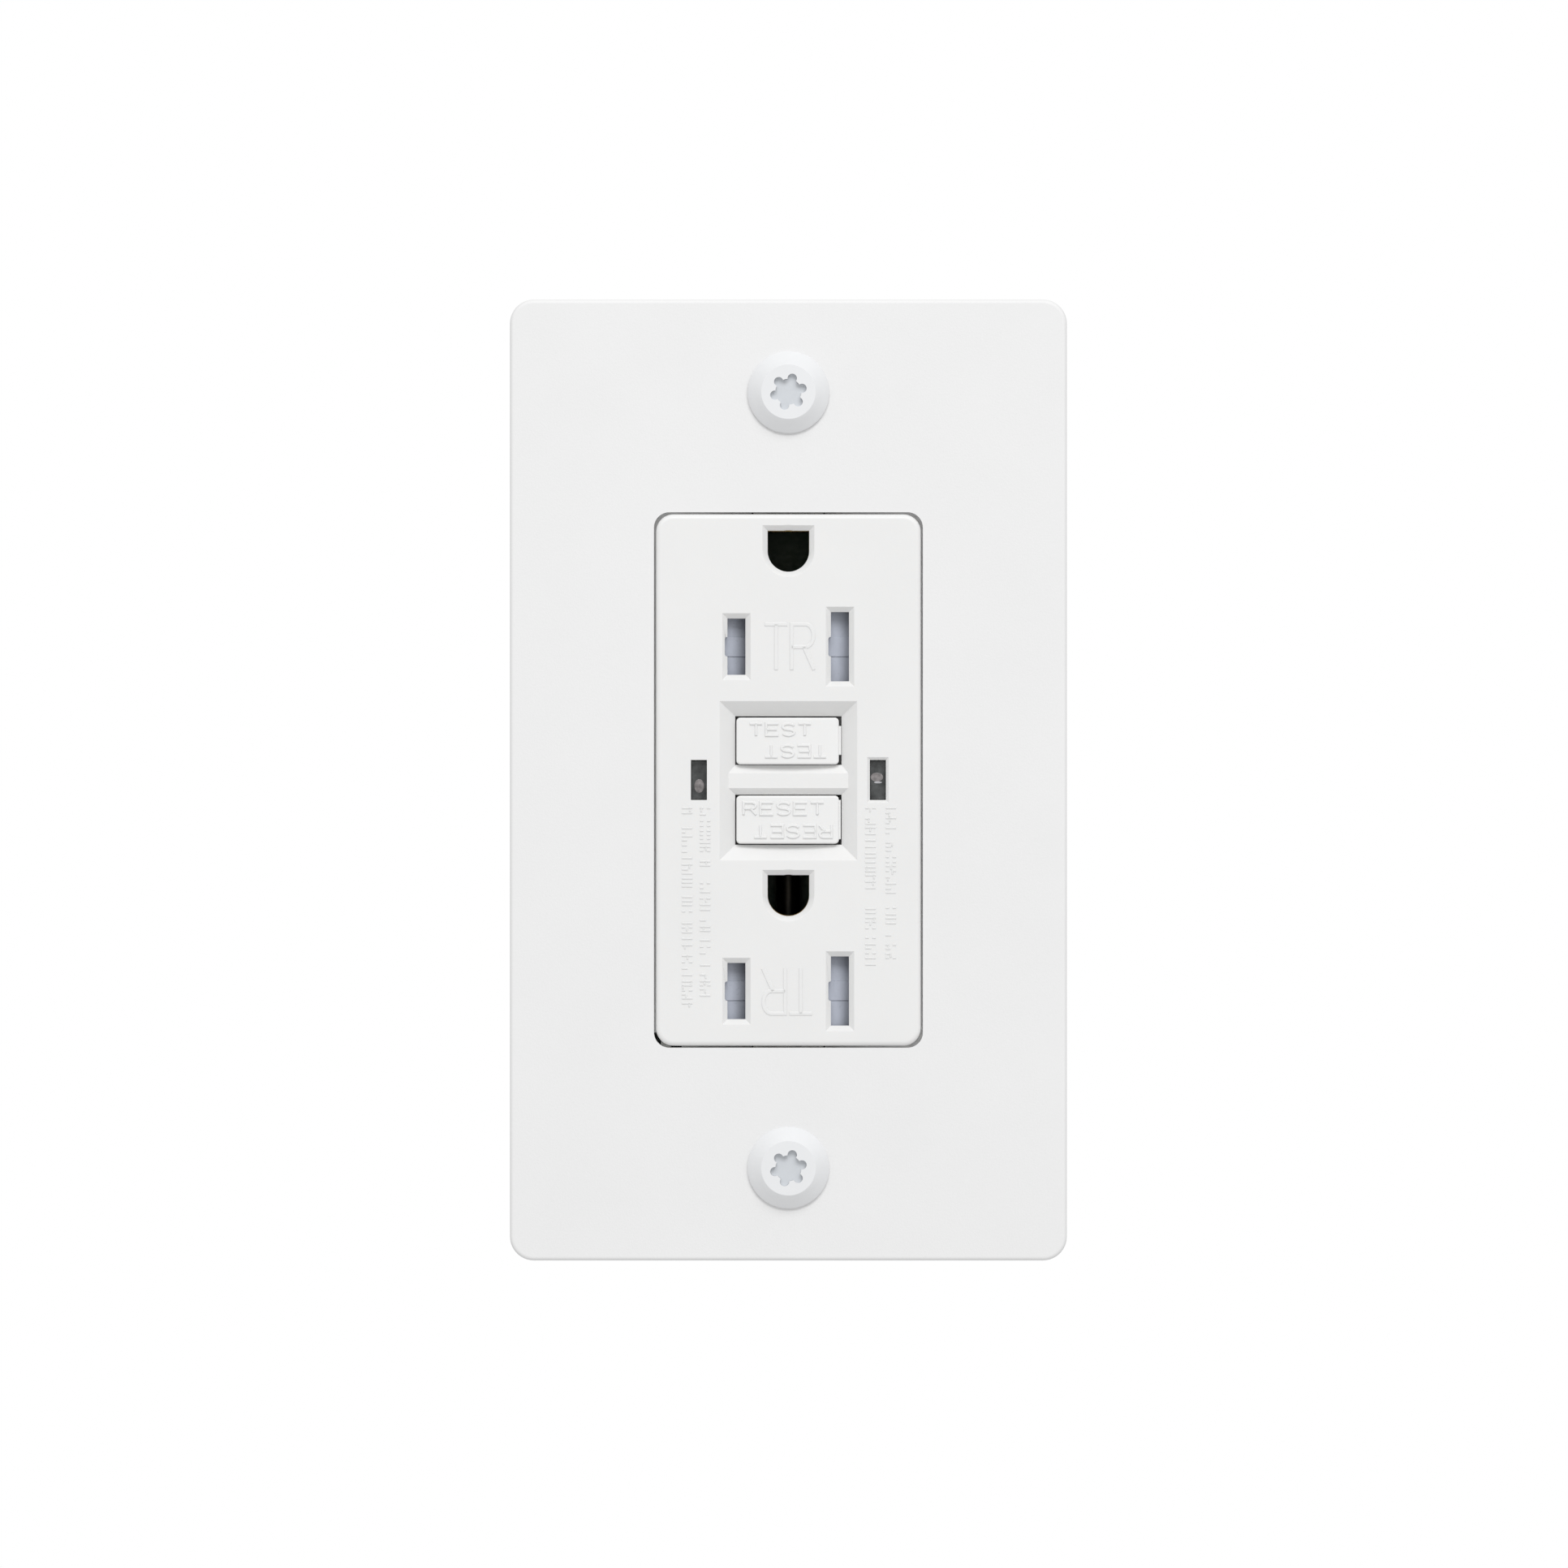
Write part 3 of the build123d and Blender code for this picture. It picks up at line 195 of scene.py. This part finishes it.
# shutter plastic with painted shade along X
material("shutter_plastic", (0.50, 0.53, 0.61), 0.32, var=0.05, mottle=600, grain=3000,
         bump=0.01, fade=(-7.9, 25.8, SHUTTER_PAINTED_SHADE))
material("clear_plastic", (0.055, 0.058, 0.058), 0.13, var=0.55, mottle=900, grain=1500,
         bump=0.02, swell=0.06, swell_scale=900)
# painted reflection and painted highlight: lighter blobs behind the dark lens windows
material("lens_painted_reflection", (0.20, 0.185, 0.185), 0.16, var=0.5, mottle=1500, grain=1500, bump=0.05)
material("lens_glint", (0.42, 0.42, 0.44), 0.12, var=0.2, mottle=1500)
# painted shade: recess floor darker and bluer than the screw's own paint
material("recess_painted_shade", (0.61, 0.635, 0.665), 0.4, var=0.02, grain=2600, bump=0.02, swell=0.02)
material("black_plastic", (0.018, 0.018, 0.02), 0.48, var=0.15, grain=3200, bump=0.02, swell=0.01)
material("frame_plastic", (0.022, 0.024, 0.028), 0.5, var=0.15, grain=3000, bump=0.02)
metal("zinc_steel", (0.62, 0.62, 0.60), 0.34, mottle=700, swell=0.01, stretch=(1, 1, 0.25),
      rough_var=0.1)
metal("spring_steel", (0.50, 0.50, 0.50), 0.28, mottle=1500)
# painted shade: steel darkened for the plunger deep behind the ground hole
metal("steel_painted_shade", (0.10, 0.10, 0.10), 0.45, mottle=700)
metal("brass", (0.74, 0.52, 0.20), 0.27, mottle=500, swell=0.01, **GRAINED)
metal("dull_brass", (0.56, 0.38, 0.14), 0.42, mottle=700, swell=0.01, swell_scale=500)
metal("nickel", (0.66, 0.65, 0.61), 0.30, mottle=500, swell=0.01, **GRAINED)
metal("dull_nickel", (0.46, 0.455, 0.44), 0.42, mottle=700, swell=0.01, swell_scale=500)
metal("bright_nickel", (0.80, 0.795, 0.77), 0.24, mottle=500)
metal("silver", (0.85, 0.85, 0.84), 0.22)
metal("copper", (0.72, 0.30, 0.13), 0.30, mottle=900, grain=1500, bump=0.05)
metal("green_steel", (0.05, 0.30, 0.10), 0.32, mottle=600, var=0.12)
material("board", (0.02, 0.14, 0.05), 0.35, var=0.12, mottle=320, grain=1800)
material("blue_ceramic", (0.03, 0.08, 0.42), 0.22, swell=0.03, var=0.08)
material("yellow_plastic", (0.60, 0.42, 0.04), 0.30, swell=0.01, var=0.05)
material("can", (0.03, 0.03, 0.12), 0.26, var=0.08)
material("resistor_body", (0.55, 0.42, 0.24), 0.34, swell=0.03, var=0.08)
material("led_body", (0.18, 0.45, 0.18), 0.15, var=0.05)
material("natural_plastic", (0.70, 0.67, 0.56), 0.45, var=0.04)
material("fibre", (0.36, 0.18, 0.09), 0.78, var=0.15, mottle=1500, bump=0.05)
material("floor_paper", (0.86, 0.86, 0.86), 0.7, var=0.01, mottle=8, grain=300)

# Pieces whose finish differs a little from the rest of their material slot; the solenoid
# plunger's darker steel is painted shade, dimming its reflection deep in the ground hole.
FINISHES_AND_SHADE = {
    "solenoid_plunger": "steel_painted_shade",
    "line_hot_clamp": "dull_brass",
    "load_hot_clamp": "dull_brass",
    "line_neutral_clamp": "dull_nickel",
    "load_neutral_clamp": "dull_nickel",
    "line_neutral_screw": "bright_nickel",
    "load_neutral_screw": "bright_nickel",
}

for entry in frame["record"]["subparts"]:
    obj = nodes[entry["node"]]
    mat = MAT[FINISHES_AND_SHADE.get(entry["node"], entry["material_slot"])]
    if not obj.material_slots:
        obj.data.materials.append(mat)
    for slot in obj.material_slots:
        slot.material = mat


# --------------------------------------------------------------- mesh helpers
WIRE_SIDES = 10
COIL_STEPS = 22  # points in one turn of a spring
THREAD_STEPS = 28  # points in one turn of a thread
THREAD_PITCH = 0.794
THREAD_RUN_IN = 0.8  # turns over which a thread grows to its full height
THREAD_PROFILE = ((-0.44, -0.02), (-0.07, 1.0), (0.07, 1.0), (0.44, -0.02))


def finish_mesh(name, bm, mat, body, smooth=True):
    """Turn a bmesh into a piece that rides on a body."""
    mesh = bpy.data.meshes.new(name)
    bmesh.ops.recalc_face_normals(bm, faces=bm.faces)
    bm.normal_update()
    bm.to_mesh(mesh)
    bm.free()
    mesh.materials.append(MAT[mat])
    for polygon in mesh.polygons:
        polygon.use_smooth = smooth
    obj = bpy.data.objects.new(name, mesh)
    scene.collection.objects.link(obj)
    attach(obj, body)
    return obj


def tube_along(points, radius):
    """Round capped tube through a list of points."""
    bm = bmesh.new()
    rings = []
    up = Vector((0, 0, 1))
    for i, p in enumerate(points):
        a = points[max(i - 1, 0)]
        b = points[min(i + 1, len(points) - 1)]
        t = (b - a).normalized()
        if i == 0:
            if abs(t.dot(up)) > 0.9:
                up = Vector((1, 0, 0))
            n = t.cross(up).normalized()
        else:
            n = (n - t * n.dot(t)).normalized()
        m = t.cross(n)
        ring = []
        for k in range(WIRE_SIDES):
            w = 2 * math.pi * k / WIRE_SIDES
            ring.append(bm.verts.new(p + (n * math.cos(w) + m * math.sin(w)) * radius))
        rings.append(ring)
    for r0, r1 in zip(rings, rings[1:]):
        for k in range(WIRE_SIDES):
            after = (k + 1) % WIRE_SIDES
            bm.faces.new((r0[k], r0[after], r1[after], r1[k]))
    bm.faces.new(list(reversed(rings[0])))
    bm.faces.new(rings[-1])
    return bm


def frame_of(axis):
    """Two directions square to an axis."""
    axis = axis.normalized()
    side = Vector((0, 0, 1)) if abs(axis.z) < 0.9 else Vector((1, 0, 0))
    u = axis.cross(side).normalized()
    return u, axis.cross(u).normalized()


def coil(name, node, start, end, radius, wire, turns):
    """Compression spring with closed ends that stands for a node, pressed towards its end."""
    axis = end - start
    length = axis.length
    direction = axis.normalized()
    u, v = frame_of(direction)
    total = turns + 2.0
    steps = int(total * COIL_STEPS)
    points = []
    for i in range(steps + 1):
        turn = total * i / steps
        if turn < 1.0:
            along = wire * (0.5 + turn)
        elif turn > total - 1.0:
            along = length - wire * (0.5 + (total - turn))
        else:
            along = wire * 1.5 + (length - 3.0 * wire) * (turn - 1.0) / turns
        w = 2 * math.pi * turn
        points.append(start + direction * along + (u * math.cos(w) + v * math.sin(w)) * radius)
    obj = finish_mesh(name, tube_along(points, wire / 2), "spring_steel", "device")
    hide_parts(node)
    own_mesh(obj)


def thread(name, start, direction, root, crest, length, mat, body):
    """Thread ridge, in mm, that tapers in at both ends and stands on a plain core."""
    start, root, crest, length = Vector(start) * MM, root * MM, crest * MM, length * MM
    pitch = THREAD_PITCH * MM
    u, v = frame_of(direction)
    turns = length / pitch
    steps = int(turns * THREAD_STEPS)
    bm = bmesh.new()
    rows = []
    for i in range(steps + 1):
        t = i / steps
        ramp = min(1.0, t * turns / THREAD_RUN_IN, (1 - t) * turns / THREAD_RUN_IN)
        w = 2 * math.pi * turns * t
        out = u * math.cos(w) + v * math.sin(w)
        mid = start + direction * (length * t)
        height = (crest - root) * max(ramp, 0.02)
        rows.append([
            bm.verts.new(mid + direction * (pitch * a) + out * (root + height * h))
            for a, h in THREAD_PROFILE
        ])
    for r0, r1 in zip(rows, rows[1:]):
        for k in range(3):
            bm.faces.new((r0[k], r0[k + 1], r1[k + 1], r1[k]))
    bm.faces.new(rows[0])
    bm.faces.new(list(reversed(rows[-1])))
    finish_mesh(name, bm, mat, body, smooth=False)


def spring_ends(node, axis):
    """Centres of the two end faces of a spring's box, along X, Y or Z as 0, 1 or 2."""
    lo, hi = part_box(node)
    first, last = (lo + hi) / 2, (lo + hi) / 2
    first[axis], last[axis] = lo[axis], hi[axis]
    return first, last


front, back = spring_ends("reset_spring", 1)
coil("reset_spring_coil", "reset_spring", front, back,
     2.32 * MM, 0.42 * MM, 5.0)
bottom, top = spring_ends("plunger_spring", 2)
coil("plunger_spring_coil", "plunger_spring", bottom, top,
     2.1 * MM, 0.22 * MM, 2.0)
for which in ("upper", "lower"):
    left, right = spring_ends(which + "_shutter_spring", 0)
    coil(which + "_shutter_coil", which + "_shutter_spring",
         right, left, 0.6 * MM, 0.16 * MM, 6.0)


# -------------------------------------------------------------------- letters
RIDGE_STEP = 0.5  # longest run across a surface between two sections, mm
RIDGE_SINK = -0.03  # foot of a ridge, mm above the surface


def ridge(bm, points, width, surface, height):
    """Raised stroke with sloping flanks along (x, z) points in mm on surface(x)."""
    dense = [points[0]]
    for (ax, az), (bx, bz) in zip(points, points[1:]):
        steps = max(1, math.ceil(abs(bx - ax) / RIDGE_STEP))
        for k in range(1, steps + 1):
            dense.append((ax + (bx - ax) * k / steps, az + (bz - az) * k / steps))
    rows = []
    for i, (x, z) in enumerate(dense):
        before = dense[max(i - 1, 0)]
        after = dense[min(i + 1, len(dense) - 1)]
        inward = Vector((x - before[0], z - before[1]))
        outward = Vector((after[0] - x, after[1] - z))
        inward = inward.normalized() if inward.length > 1e-9 else outward.normalized()
        outward = outward.normalized() if outward.length > 1e-9 else inward
        along = (inward + outward).normalized()
        mitre = min(1.6, 1.0 / max(0.3, along.dot(inward)))
        side = Vector((-along.y, along.x)) * (width / 2 * mitre)
        row = []
        for share, lift in ((-1.0, RIDGE_SINK), (-0.5, height), (0.5, height),
                            (1.0, RIDGE_SINK)):
            px, pz = x + side.x * share, z + side.y * share
            row.append(bm.verts.new(Vector((px, surface(px) - lift, pz)) * MM))
        rows.append(row)
    for r0, r1 in zip(rows, rows[1:]):
        for k in range(3):
            bm.faces.new((r0[k], r0[k + 1], r1[k + 1], r1[k]))
    bm.faces.new(rows[0])
    bm.faces.new(list(reversed(rows[-1])))


def arc(cx, cz, rx, rz, start, stop, steps):
    """Points on an ellipse between two angles in degrees."""
    out = []
    for k in range(steps + 1):
        w = math.radians(start + (stop - start) * k / steps)
        out.append((cx + rx * math.cos(w), cz + rz * math.sin(w)))
    return out


STROKES = {
    "T": [[(0, 1), (1, 1)], [(0.5, 1), (0.5, 0)]],
    "E": [[(1, 1), (0, 1), (0, 0), (1, 0)], [(0, 0.52), (0.86, 0.52)]],
    "S": [arc(0.5, 0.75, 0.48, 0.25, 20, 270, 14)
          + arc(0.5, 0.25, 0.48, 0.25, 90, -160, 14)[1:]],
    "R": [[(0, 0), (0, 1), (0.6, 1)] + arc(0.62, 0.75, 0.36, 0.25, 80, -90, 10) + [(0, 0.5)],
          [(0.55, 0.5), (1, 0)]],
}


def word(name, text, rect, turned, body, slot, surface, height, width, gap=0.34):
    """Raised stroke letters that fill rect = (x0, x1, z0, z1) in mm on surface(x)."""
    x0, x1, z0, z1 = rect
    x0, x1, z0, z1 = x0 + width / 2, x1 - width / 2, z0 + width / 2, z1 - width / 2
    cell = (x1 - x0) / (len(text) + gap * (len(text) - 1))
    bm = bmesh.new()
    for i, letter in enumerate(text):
        for path in STROKES[letter]:
            points = []
            for s, t in path:
                x = x0 + cell * (i * (1 + gap) + s)
                z = z0 + (z1 - z0) * t
                if turned:
                    x, z = x0 + x1 - x, z0 + z1 - z
                points.append((x, z))
            ridge(bm, points, width, surface, height)
    finish_mesh(name, bm, slot, body, smooth=False)


FACE_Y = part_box("front_cover")[0].y / MM
BUTTON_EDGE_Y = -5.3
BUTTON_HALF_WIDTH = 6.4
BUTTON_MID_X = -0.1
CROWN = BUTTON_EDGE_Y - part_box("test_button")[0].y / MM
CROWN_RADIUS = (BUTTON_HALF_WIDTH ** 2 + CROWN ** 2) / (2 * CROWN)


def crown(x):
    """Depth of a button's crowned front at x, mm."""
    dx = x - BUTTON_MID_X
    return BUTTON_EDGE_Y - CROWN + CROWN_RADIUS - math.sqrt(CROWN_RADIUS ** 2 - dx * dx)


def flat(x):
    """Depth of the cover's face, mm, the same at every x."""
    return FACE_Y


for name, text, rect, turned, body in (
    ("test_word", "TEST", (-5.0, 3.0, 5.4, 7.25), False, "test_key"),
    ("test_word_turned", "TEST", (-3.1, 4.9, 2.7, 4.55), True, "test_key"),
    ("reset_word", "RESET", (-5.8, 4.6, -4.5, -2.6), False, "reset_key"),
    ("reset_word_turned", "RESET", (-4.45, 5.6, -7.35, -5.45), True, "reset_key"),
):
    word(name, text, rect, turned, body, "button_plastic", crown, 0.19, 0.40)
for name, rect, turned in (
    ("tr_mark_upper", (-3.24, 3.5, 13.47, 19.75), False),
    ("tr_mark_lower", (-3.5, 3.24, -29.5, -23.22), True),
):
    word(name, "TR", rect, turned, "device", "white_plastic", flat, 0.10, 0.62, gap=0.2)

# --------------------------------------------------- abstract moulded tick rows
rng = random.Random(7)
TICK_WIDTH = 0.28
TICK_HEIGHT = 0.1
TICK_STEPS = (0.5, 0.62, 0.8)  # distances down to the next tick, mm
WORD_GAP = 0.7
SHORT_TICK = 0.32  # share of the column's width


def tick_column(name, x0, x1, z_top, z_bottom):
    """A column of small raised ticks, like faint moulded marks."""
    bm = bmesh.new()
    z = z_top
    while z > z_bottom:
        step = rng.choice(TICK_STEPS)
        if rng.random() < 0.14:
            z -= WORD_GAP
            continue
        full = x1 - x0
        kind = rng.random()
        if kind < 0.5:
            spans = [(x0, x1)]
        elif kind < 0.7:
            cut = rng.uniform(0.3, 0.6) * full
            spans = [(x0, x0 + cut)]
        else:
            spans = [(x0, x0 + SHORT_TICK * full), (x1 - SHORT_TICK * full, x1)]
        for a, b in spans:
            ridge(bm, [(a, z), (b, z)], TICK_WIDTH, flat, TICK_HEIGHT)
        if rng.random() < 0.3:
            x = x0 + rng.uniform(0.1, 0.9) * full
            ridge(bm, [(x, z), (x, z - 0.45)], 0.26, flat, TICK_HEIGHT)
        z -= step
    finish_mesh(name, bm, "white_plastic", "device", smooth=False)


tick_column("tick_column_a", -13.3, -12.0, -3.5, -27.9)
tick_column("tick_column_b", -11.05, -9.75, -3.5, -27.0)
tick_column("tick_column_c", 9.6, 10.9, -3.5, -23.5)
tick_column("tick_column_d", 12.15, 13.45, -3.5, -22.7)


# ---------------------------------------------- painted reflections in the lens windows
def pebble(name, centre, radii, mat):
    """Flattened rounded blob, in mm."""
    bm = bmesh.new()
    bmesh.ops.create_uvsphere(bm, u_segments=24, v_segments=14, radius=1.0)
    for v in bm.verts:
        v.co = Vector([c + r * q for c, r, q in zip(centre, radii, v.co)]) * MM
    finish_mesh(name, bm, mat, "device")


lens_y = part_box("light_pipes")[0].y / MM
# painted reflection: lighter blobs inside the dark lenses, with a painted highlight on the right
# one
pebble("left_lens_painted_reflection", (-11.15, lens_y, -0.75), (0.62, 0.06, 0.85), "lens_painted_reflection")
pebble("right_lens_painted_reflection", (11.05, lens_y, 0.35), (0.8, 0.05, 0.55), "lens_painted_reflection")
pebble("right_lens_glint", (11.2, lens_y - 0.02, -0.3), (0.5, 0.05, 0.13), "lens_glint")


# ------------------------------------------------ screw recess floors in painted shade
RECESS_SIDES = 180
RECESS_CORE_R = 1.60
LOBE_R = 0.57
LOBE_CIRCLE_R = 1.74
LOBE_TURN = 14  # degrees


def lobed_floor(name, centre_z, y):
    """Six-lobed floor of a driver recess, in mm, set shallower than the real recess and coloured
    darker than the head as painted shade.
    """
    bm = bmesh.new()
    rim = []
    for k in range(RECESS_SIDES):
        w = 2 * math.pi * k / RECESS_SIDES
        off = math.radians((math.degrees(w) - LOBE_TURN + 30) % 60 - 30)
        reach = LOBE_CIRCLE_R * math.sin(off)
        r = RECESS_CORE_R
        if abs(reach) < LOBE_R:
            r = max(r, LOBE_CIRCLE_R * math.cos(off) + math.sqrt(LOBE_R ** 2 - reach ** 2))
        rim.append(bm.verts.new(Vector((r * math.cos(w), y, centre_z + r * math.sin(w))) * MM))
    hub = bm.verts.new(Vector((0, y + 0.04, centre_z)) * MM)
    for k in range(RECESS_SIDES):
        bm.faces.new((rim[k], rim[(k + 1) % RECESS_SIDES], hub))
    finish_mesh(name, bm, "recess_painted_shade", "device")


PLATE_SCREW_Z = 48.42
# floor set shallower than the real recess, its darker colour standing in for the recess's shade
RECESS_FLOOR = 0.75  # below the top of the screw's head
screw_floor_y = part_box("plate_screws")[0].y / MM + RECESS_FLOOR
lobed_floor("upper_screw_recess", PLATE_SCREW_Z, screw_floor_y)
lobed_floor("lower_screw_recess", -PLATE_SCREW_Z, screw_floor_y)

# -------------------------------------------------------------------- threads
X, Y = Vector((1, 0, 0)), Vector((0, 1, 0))
BOX_SCREW_Z = 41.67
TERMINAL_Z = 16
TERMINAL_ROOT, TERMINAL_CREST = 1.68, 1.98

for tag, side in (("upper", 1), ("lower", -1)):
    thread(f"{tag}_box_screw_thread", (0, 1.3, BOX_SCREW_Z * side), Y, 1.7525, 1.86, 20.3,
           "zinc_steel", "device")
    thread(f"{tag}_plate_screw_thread", (0, -3.2, PLATE_SCREW_Z * side), Y, 1.42, 1.74, 9.2,
           "screw_paint", "device")
for tag, side, z, mat in (
    ("line_hot", -1, TERMINAL_Z, "brass"),
    ("line_neutral", 1, TERMINAL_Z, "nickel"),
    ("load_hot", -1, -TERMINAL_Z, "brass"),
    ("load_neutral", 1, -TERMINAL_Z, "nickel"),
):
    thread(f"{tag}_screw_thread", (13.1 * side, 14.5, z), X * side, TERMINAL_ROOT,
           TERMINAL_CREST, 5.1, mat, f"{tag}_clamp_set")
thread("ground_screw_thread", (-15.2, 7.4, -36), -X, TERMINAL_ROOT, TERMINAL_CREST, 2.4,
       "green_steel", "ground_screw_set")

# ------------------------------------------------------------ soft edge breaks
EDGE_BREAKS = {
    "front_cover": 0.12,
    "mounting_strap": 0.1,
    "rear_housing": 0.25,
    "middle_frame": 0.1,
    "upper_shutter": 0.08,
    "lower_shutter": 0.08,
    "plate_screws": 0.08,
    "light_pipes": 0.1,
}

for node, width in EDGE_BREAKS.items():
    obj = nodes[node]
    weld = obj.modifiers.new("weld", "WELD")
    weld.merge_threshold = 0.000002
    bevel = obj.modifiers.new("edge_break", "BEVEL")
    bevel.width = width * MM
    bevel.segments = 2
    bevel.limit_method = "ANGLE"
    bevel.angle_limit = math.radians(35)
    bevel.use_clamp_overlap = True
    weighted = obj.modifiers.new("shading", "WEIGHTED_NORMAL")
    weighted.keep_sharp = True

# ------------------------------------------------------------ floor and lights
WORLD_GREY = 0.95
WORLD_STRENGTH = 0.70
FLOOR_HALF = 8.0
FLOOR_Z = -1.0
KEY_WATTS = 18.0
KEY_SIZE = (1.3, 0.8)
KEY_POSITION = Vector((0.15, -1.40, 1.14))

# The world lights the object softly, and the camera sees plain white behind it.
world = bpy.data.worlds.new("studio")
world.use_nodes = True
world_nodes = world.node_tree.nodes
background = world_nodes["Background"]
background.inputs["Color"].default_value = (WORLD_GREY, WORLD_GREY, WORLD_GREY, 1)
background.inputs["Strength"].default_value = WORLD_STRENGTH
backdrop = world_nodes.new("ShaderNodeBackground")
backdrop.inputs["Color"].default_value = (1.0, 1.0, 1.0, 1)
rays = world_nodes.new("ShaderNodeLightPath")
mix = world_nodes.new("ShaderNodeMixShader")
world_link = world.node_tree.links.new
world_link(rays.outputs["Is Camera Ray"], mix.inputs["Fac"])
world_link(background.outputs["Background"], mix.inputs[1])
world_link(backdrop.outputs["Background"], mix.inputs[2])
world_link(mix.outputs["Shader"], world_nodes["World Output"].inputs["Surface"])
scene.world = world

floor_mesh = bpy.data.meshes.new("floor")
corners = ((-1, -1), (1, -1), (1, 1), (-1, 1))
floor_mesh.from_pydata([(FLOOR_HALF * x, FLOOR_HALF * y, FLOOR_Z) for x, y in corners],
                       [], [(0, 1, 2, 3)])
floor_mesh.materials.append(MAT["floor_paper"])
floor = bpy.data.objects.new("floor", floor_mesh)
scene.collection.objects.link(floor)

key_data = bpy.data.lights.new("key", "AREA")
key_data.shape = "RECTANGLE"
key_data.size, key_data.size_y = KEY_SIZE
key_data.energy = KEY_WATTS
key = bpy.data.objects.new("key", key_data)
key.location = KEY_POSITION
key.rotation_euler = (-KEY_POSITION).to_track_quat("-Z", "Y").to_euler()
scene.collection.objects.link(key)

# --------------------------------------------------------------------- camera
FRAME_WIDTH = 195.9 * MM
DISTANCE = 1.2
SENSOR = 36.0

camera_data = bpy.data.cameras.new("camera")
camera_data.sensor_width = SENSOR
camera_data.lens = SENSOR * DISTANCE / FRAME_WIDTH
camera_data.clip_start = 0.05
camera_data.clip_end = 10.0
camera = bpy.data.objects.new("camera", camera_data)
camera.location = (-0.55 * MM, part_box("wall_plate")[0].y - DISTANCE, -0.50 * MM)
camera.rotation_euler = (math.radians(90), 0, 0)
scene.collection.objects.link(camera)
scene.camera = camera

scene.view_settings.view_transform = "Standard"
scene.view_settings.look = "None"
scene.view_settings.exposure = 0.0
scene.view_settings.gamma = 1.0
